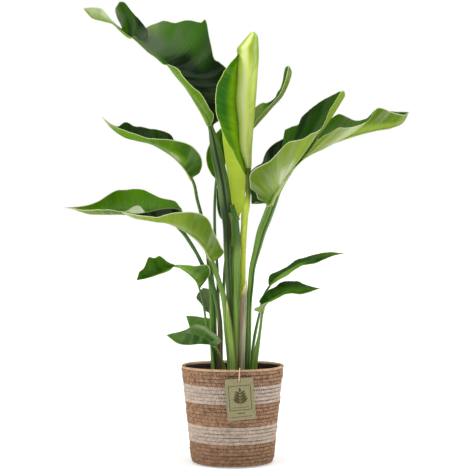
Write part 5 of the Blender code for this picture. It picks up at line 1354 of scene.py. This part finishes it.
def lumps(x, y):
    """Soil height in metres about its mean."""
    broad, fine = np.sin(x * 210 + 1) * np.cos(y * 180), np.sin(x * 430 - y * 390)
    return LUMP * (broad + 0.7 * fine + 0.5 * np.sin(y * 620 + 2))


def soil_mesh(rings=44, around=150):
    """A closed lumpy disc: the soil's top, its edge wall and a flat underside."""
    reach = soil_high.x - 0.0004
    turn = round_turn(around)
    radius = np.linspace(0.0004, reach, rings)
    x, y = radius[:, None] * np.cos(turn), radius[:, None] * np.sin(turn)
    edge = np.clip((reach - radius) / 0.01, 0, 1)[:, None]
    top = SOIL_MEAN + lumps(x, y) * edge + draw_soil.normal(0, 0.0003, x.shape)
    layers = [np.stack([x, y, top], axis=-1)]
    for ring in (slice(-1, None), slice(0, 1)):
        layers.append(np.stack([x[ring], y[ring], np.full_like(x[ring], SOIL_UNDER)], axis=-1))
    grid = np.concatenate(layers)
    index = np.arange(len(grid) * around).reshape(-1, around)
    closed_up = np.concatenate([index, index[:1]])
    after = np.roll(closed_up, -1, axis=1)
    faces = quads(closed_up[:-1], closed_up[1:], after[1:], after[:-1]).tolist()
    return new_mesh("soil_surface", grid.reshape(-1, 3).tolist(), faces, (soil_finish.material,))


def chip_mesh(many=260):
    """Bark chips: rough flat lumps scattered on the soil."""
    form = bmesh.new()
    for _ in range(many):
        far = (soil_high.x - 0.006) * math.sqrt(draw_soil.uniform(0.01, 1))
        a = draw_soil.uniform(0, 2 * math.pi)
        x, y = far * math.cos(a), far * math.sin(a)
        size = draw_soil.uniform(*CHIP_SIZE)
        made = bmesh.ops.create_icosphere(form, subdivisions=1, radius=1)["verts"]
        turned = Matrix.Rotation(draw_soil.uniform(0, 6.3), 3, "Z")
        turned = turned @ Matrix.Rotation(draw_soil.uniform(-0.5, 0.5), 3, "X")
        squash = Vector((size, size * draw_soil.uniform(0.45, 0.8), size * draw_soil.uniform(0.25, 0.45)))
        for vert in made:
            rough = vert.co * draw_soil.uniform(0.75, 1.2)
            lifted = turned @ Vector((rough.x * squash.x, rough.y * squash.y, rough.z * squash.z))
            vert.co = lifted + Vector((x, y, CHIP_HEIGHT + float(lumps(x, y)) + squash.z * 0.3))
    mesh = bpy.data.meshes.new("bark_chips")
    form.to_mesh(mesh)
    form.free()
    mesh.materials.append(bark_finish.material)
    return mesh


show("soil_surface", joined("soil_surface", [soil_mesh(), chip_mesh()]), "soil", "soil")

# %% [markdown]
# ## The card tag and its twine
# A shop hangs a card on the basket. This one carries only a frame, a sprig and three rules, all
# plain ornament. The card is a thin bent sheet. Its ink is very thin raised shapes that follow
# the bend, and one hole takes the twine.

# %% Card and ink finishes
card = flecked("kraft_card", 0.8, 0.2, (700, 4, 0.7), (122, 117, 84), (152, 146, 112), (0.3, 0.7),
               (0.25, 0.0004), scale=(1, 1, 0.4))
ink = flecked("card_ink", 0.7, 0.2, (500, 3), (62, 58, 34), (88, 82, 52))

# %% The card, in its own flat plane
TAG_WIDE, TAG_TALL, TAG_THICK = 0.056, 0.083, 0.0008
TAG_SPOT = Matrix.Translation((0.0157, -0.1085, 0.1410))
TAG_LEAN = Matrix.Identity(4)
for degrees, axis in ((5, "Z"), (-4.6, "Y"), (3.5, "X")):
    TAG_LEAN = TAG_LEAN @ Matrix.Rotation(math.radians(degrees), 4, axis)
HOLE_UP, HOLE_RADIUS = TAG_TALL / 2 - 0.0065, 0.0027
# How far the card's middle stands out, and how far its foot curls back.
CARD_BOW, CARD_CURL = 0.0011, 0.0016
# The ink's two faces, by their height above the card. The lower one is just inside it.
INK_FACES = (0.00012, -0.00005)


def bow(x, z):
    """How far the card bends to the front of its flat plane."""
    return CARD_BOW * (1 - (2 * x / TAG_WIDE) ** 2) - CARD_CURL * max(0.0, -z / TAG_TALL) ** 2 * 4


def card_mesh():
    """The card: a disc-like web from the hole out to the straight edges, front and back, and walls."""
    rings, around = 14, 72
    front = []
    for share in np.linspace(0, 1, rings) ** 1.3:
        ring = []
        for a in round_turn(around):
            dx, dz = math.cos(a), math.sin(a)
            reach_x = TAG_WIDE / 2 / max(abs(dx), 1e-9)
            reach_z = (TAG_TALL / 2 - math.copysign(HOLE_UP, dz)) / max(abs(dz), 1e-9)
            far = HOLE_RADIUS + share * (min(reach_x, reach_z) - HOLE_RADIUS)
            ring.append((far * dx, HOLE_UP + far * dz))
        front.append(ring)
    corners = [(sx * TAG_WIDE / 2, sz * TAG_TALL / 2) for sx in (-1, 1) for sz in (-1, 1)]
    for cx, cz in corners:
        spot = min(range(around), key=lambda k: (front[-1][k][0] - cx) ** 2 + (front[-1][k][1] - cz) ** 2)
        front[-1][spot] = (cx, cz)
    points = [(x, side * TAG_THICK / 2 - bow(x, z), z) for side in (-1, 1) for ring in front for x, z in ring]
    half = rings * around
    faces = []
    for ring in range(rings - 1):
        for k in range(around):
            a, b = ring * around + k, ring * around + (k + 1) % around
            faces.append((a, a + around, b + around, b))
            faces.append((b + half, b + around + half, a + around + half, a + half))
    for k in range(around):
        a, b = k, (k + 1) % around
        faces.append((a, b, b + half, a + half))
        far = (rings - 1) * around
        faces.append((b + far, a + far, a + far + half, b + far + half))
    return new_mesh("hang_tag_card", points, faces, (card.material,), smooth=False)


def ink_mesh(shapes):
    """Flat outlines in the card's plane, each made a very thin solid on its front."""
    points, faces = [], []
    for shape in shapes:
        first, count = len(points), len(shape)
        for lift in INK_FACES:
            points += [(x, -bow(x, z) - TAG_THICK / 2 - lift, z) for x, z in shape]
        faces.append(tuple(range(first, first + count)))
        faces.append(tuple(range(first + 2 * count - 1, first + count - 1, -1)))
        for k in range(count):
            a, b = first + k, first + (k + 1) % count
            faces.append((b, a, a + count, b + count))
    return new_mesh("hang_tag_ink", points, faces, (ink.material,), smooth=False)


def bar(x0, z0, x1, z1, wide):
    """A ruled line as short pieces, so that it follows the bend."""
    start, end = np.array([x0, z0]) * MM, np.array([x1, z1]) * MM
    side = np.array([-(end - start)[1], (end - start)[0]]) / np.linalg.norm(end - start) * wide * MM / 2
    cuts = [start + (end - start) * k / 8 for k in range(9)]
    pieces = [(a - side, b - side, b + side, a + side) for a, b in zip(cuts, cuts[1:])]
    return [[tuple(corner) for corner in piece] for piece in pieces]


def leaflet(x, z, length, angle):
    """A small pointed leaf of the sprig."""
    half = ((0.25, 0.16), (0.55, 0.2), (0.85, 0.09))
    out = []
    for share, wide in ((0, 0), *half, (1, 0), *((share, -wide) for share, wide in half[::-1])):
        along, off = share * length, wide * length
        out.append(((x + along * math.cos(angle) - off * math.sin(angle)) * MM,
                    (z + along * math.sin(angle) + off * math.cos(angle)) * MM))
    return out


SPRIG = [leaflet(0, 13, 11, math.radians(90))]
for step in range(4):
    for way in (-1, 1):
        SPRIG.append(leaflet(0, -8 + 6 * step, 18 - 2 * step, math.radians(90 - way * 55)))
# The frame's four sides, the sprig's stem, and the three rules: two ends and a width, in millimetres.
RULES = ((-22, 27, 21, 27, 1.2), (21, 27, 21, -21, 1.2), (21, -21, -22, -21, 1.2), (-22, -21, -22, 27, 1.2),
         (0, -13, 0, 14, 1.0), (-16, -16, 16, -16, 1.0), (-7, -27.5, 7, -27.5, 1.8),
         (-20, -34.5, 20, -34.5, 1.0))
PRINT = [piece for rule in RULES for piece in bar(*rule)] + SPRIG
tag_mesh = joined("hang_tag_card", [card_mesh(), ink_mesh(PRINT)])
tag_mesh.transform(TAG_SPOT @ TAG_LEAN)
show("hang_tag_card", tag_mesh, "card", "hang_tag")
print("tag", triangles(tag_mesh), "triangles")

# %% [markdown]
# The twine is limp two-ply yarn: it comes up from behind the rim, hangs down the front, goes
# through the card and back up. Its two plies show as a twist round the thread.

# %% The twine
TWINE = (
    (0.0150, -0.0945, 0.1905), (0.0149, -0.0952, 0.1970), (0.0147, -0.0978, 0.2005),
    (0.0144, -0.1018, 0.2010), (0.0141, -0.1062, 0.1992), (0.0138, -0.1095, 0.1950),
    (0.0134, -0.1122, 0.1880), (0.0131, -0.1135, 0.1820), (0.0130, -0.1137, 0.1780),
    (0.0130, -0.1126, 0.1753), (0.0130, -0.1100, 0.17425), (0.0131, -0.1073, 0.1753),
    (0.0132, -0.1062, 0.1780), (0.0136, -0.1060, 0.1840), (0.0144, -0.1060, 0.1912),
)
TWINE_THICK, TWINE_STEPS = 0.0018, 170
yarn = Finish("twine_yarn", 0.85, 0.15)
yarn_turn = yarn.sums("MULTIPLY", yarn.held("rod_cos"), 2.5)
yarn_twist = yarn.sums("SINE", yarn.sums("MULTIPLY_ADD", yarn.held("rod_place"), 2400.0, yarn_turn))
yarn_fibre = yarn.noise(yarn.place(), 900, 4, 0.7)
yarn.colour(yarn.mix(yarn.span(yarn_fibre, 0.3, 0.7), (200, 158, 124), (236, 206, 178)))
yarn.bump(yarn.sums("MULTIPLY_ADD", yarn_twist, 0.5, yarn_fibre), 0.6, 0.0006)

twine_run = lengths(np.array(TWINE))
twine_route = through(np.column_stack([twine_run, TWINE]), np.linspace(0, twine_run[-1], TWINE_STEPS + 1))
twine_radii = np.full(TWINE_STEPS + 1, TWINE_THICK / 2)
twine = swept_rod("tag_twine", twine_route, twine_radii, yarn.material, sides=12)
twine_piece = show("tag_twine", twine, "twine", "tag_string")
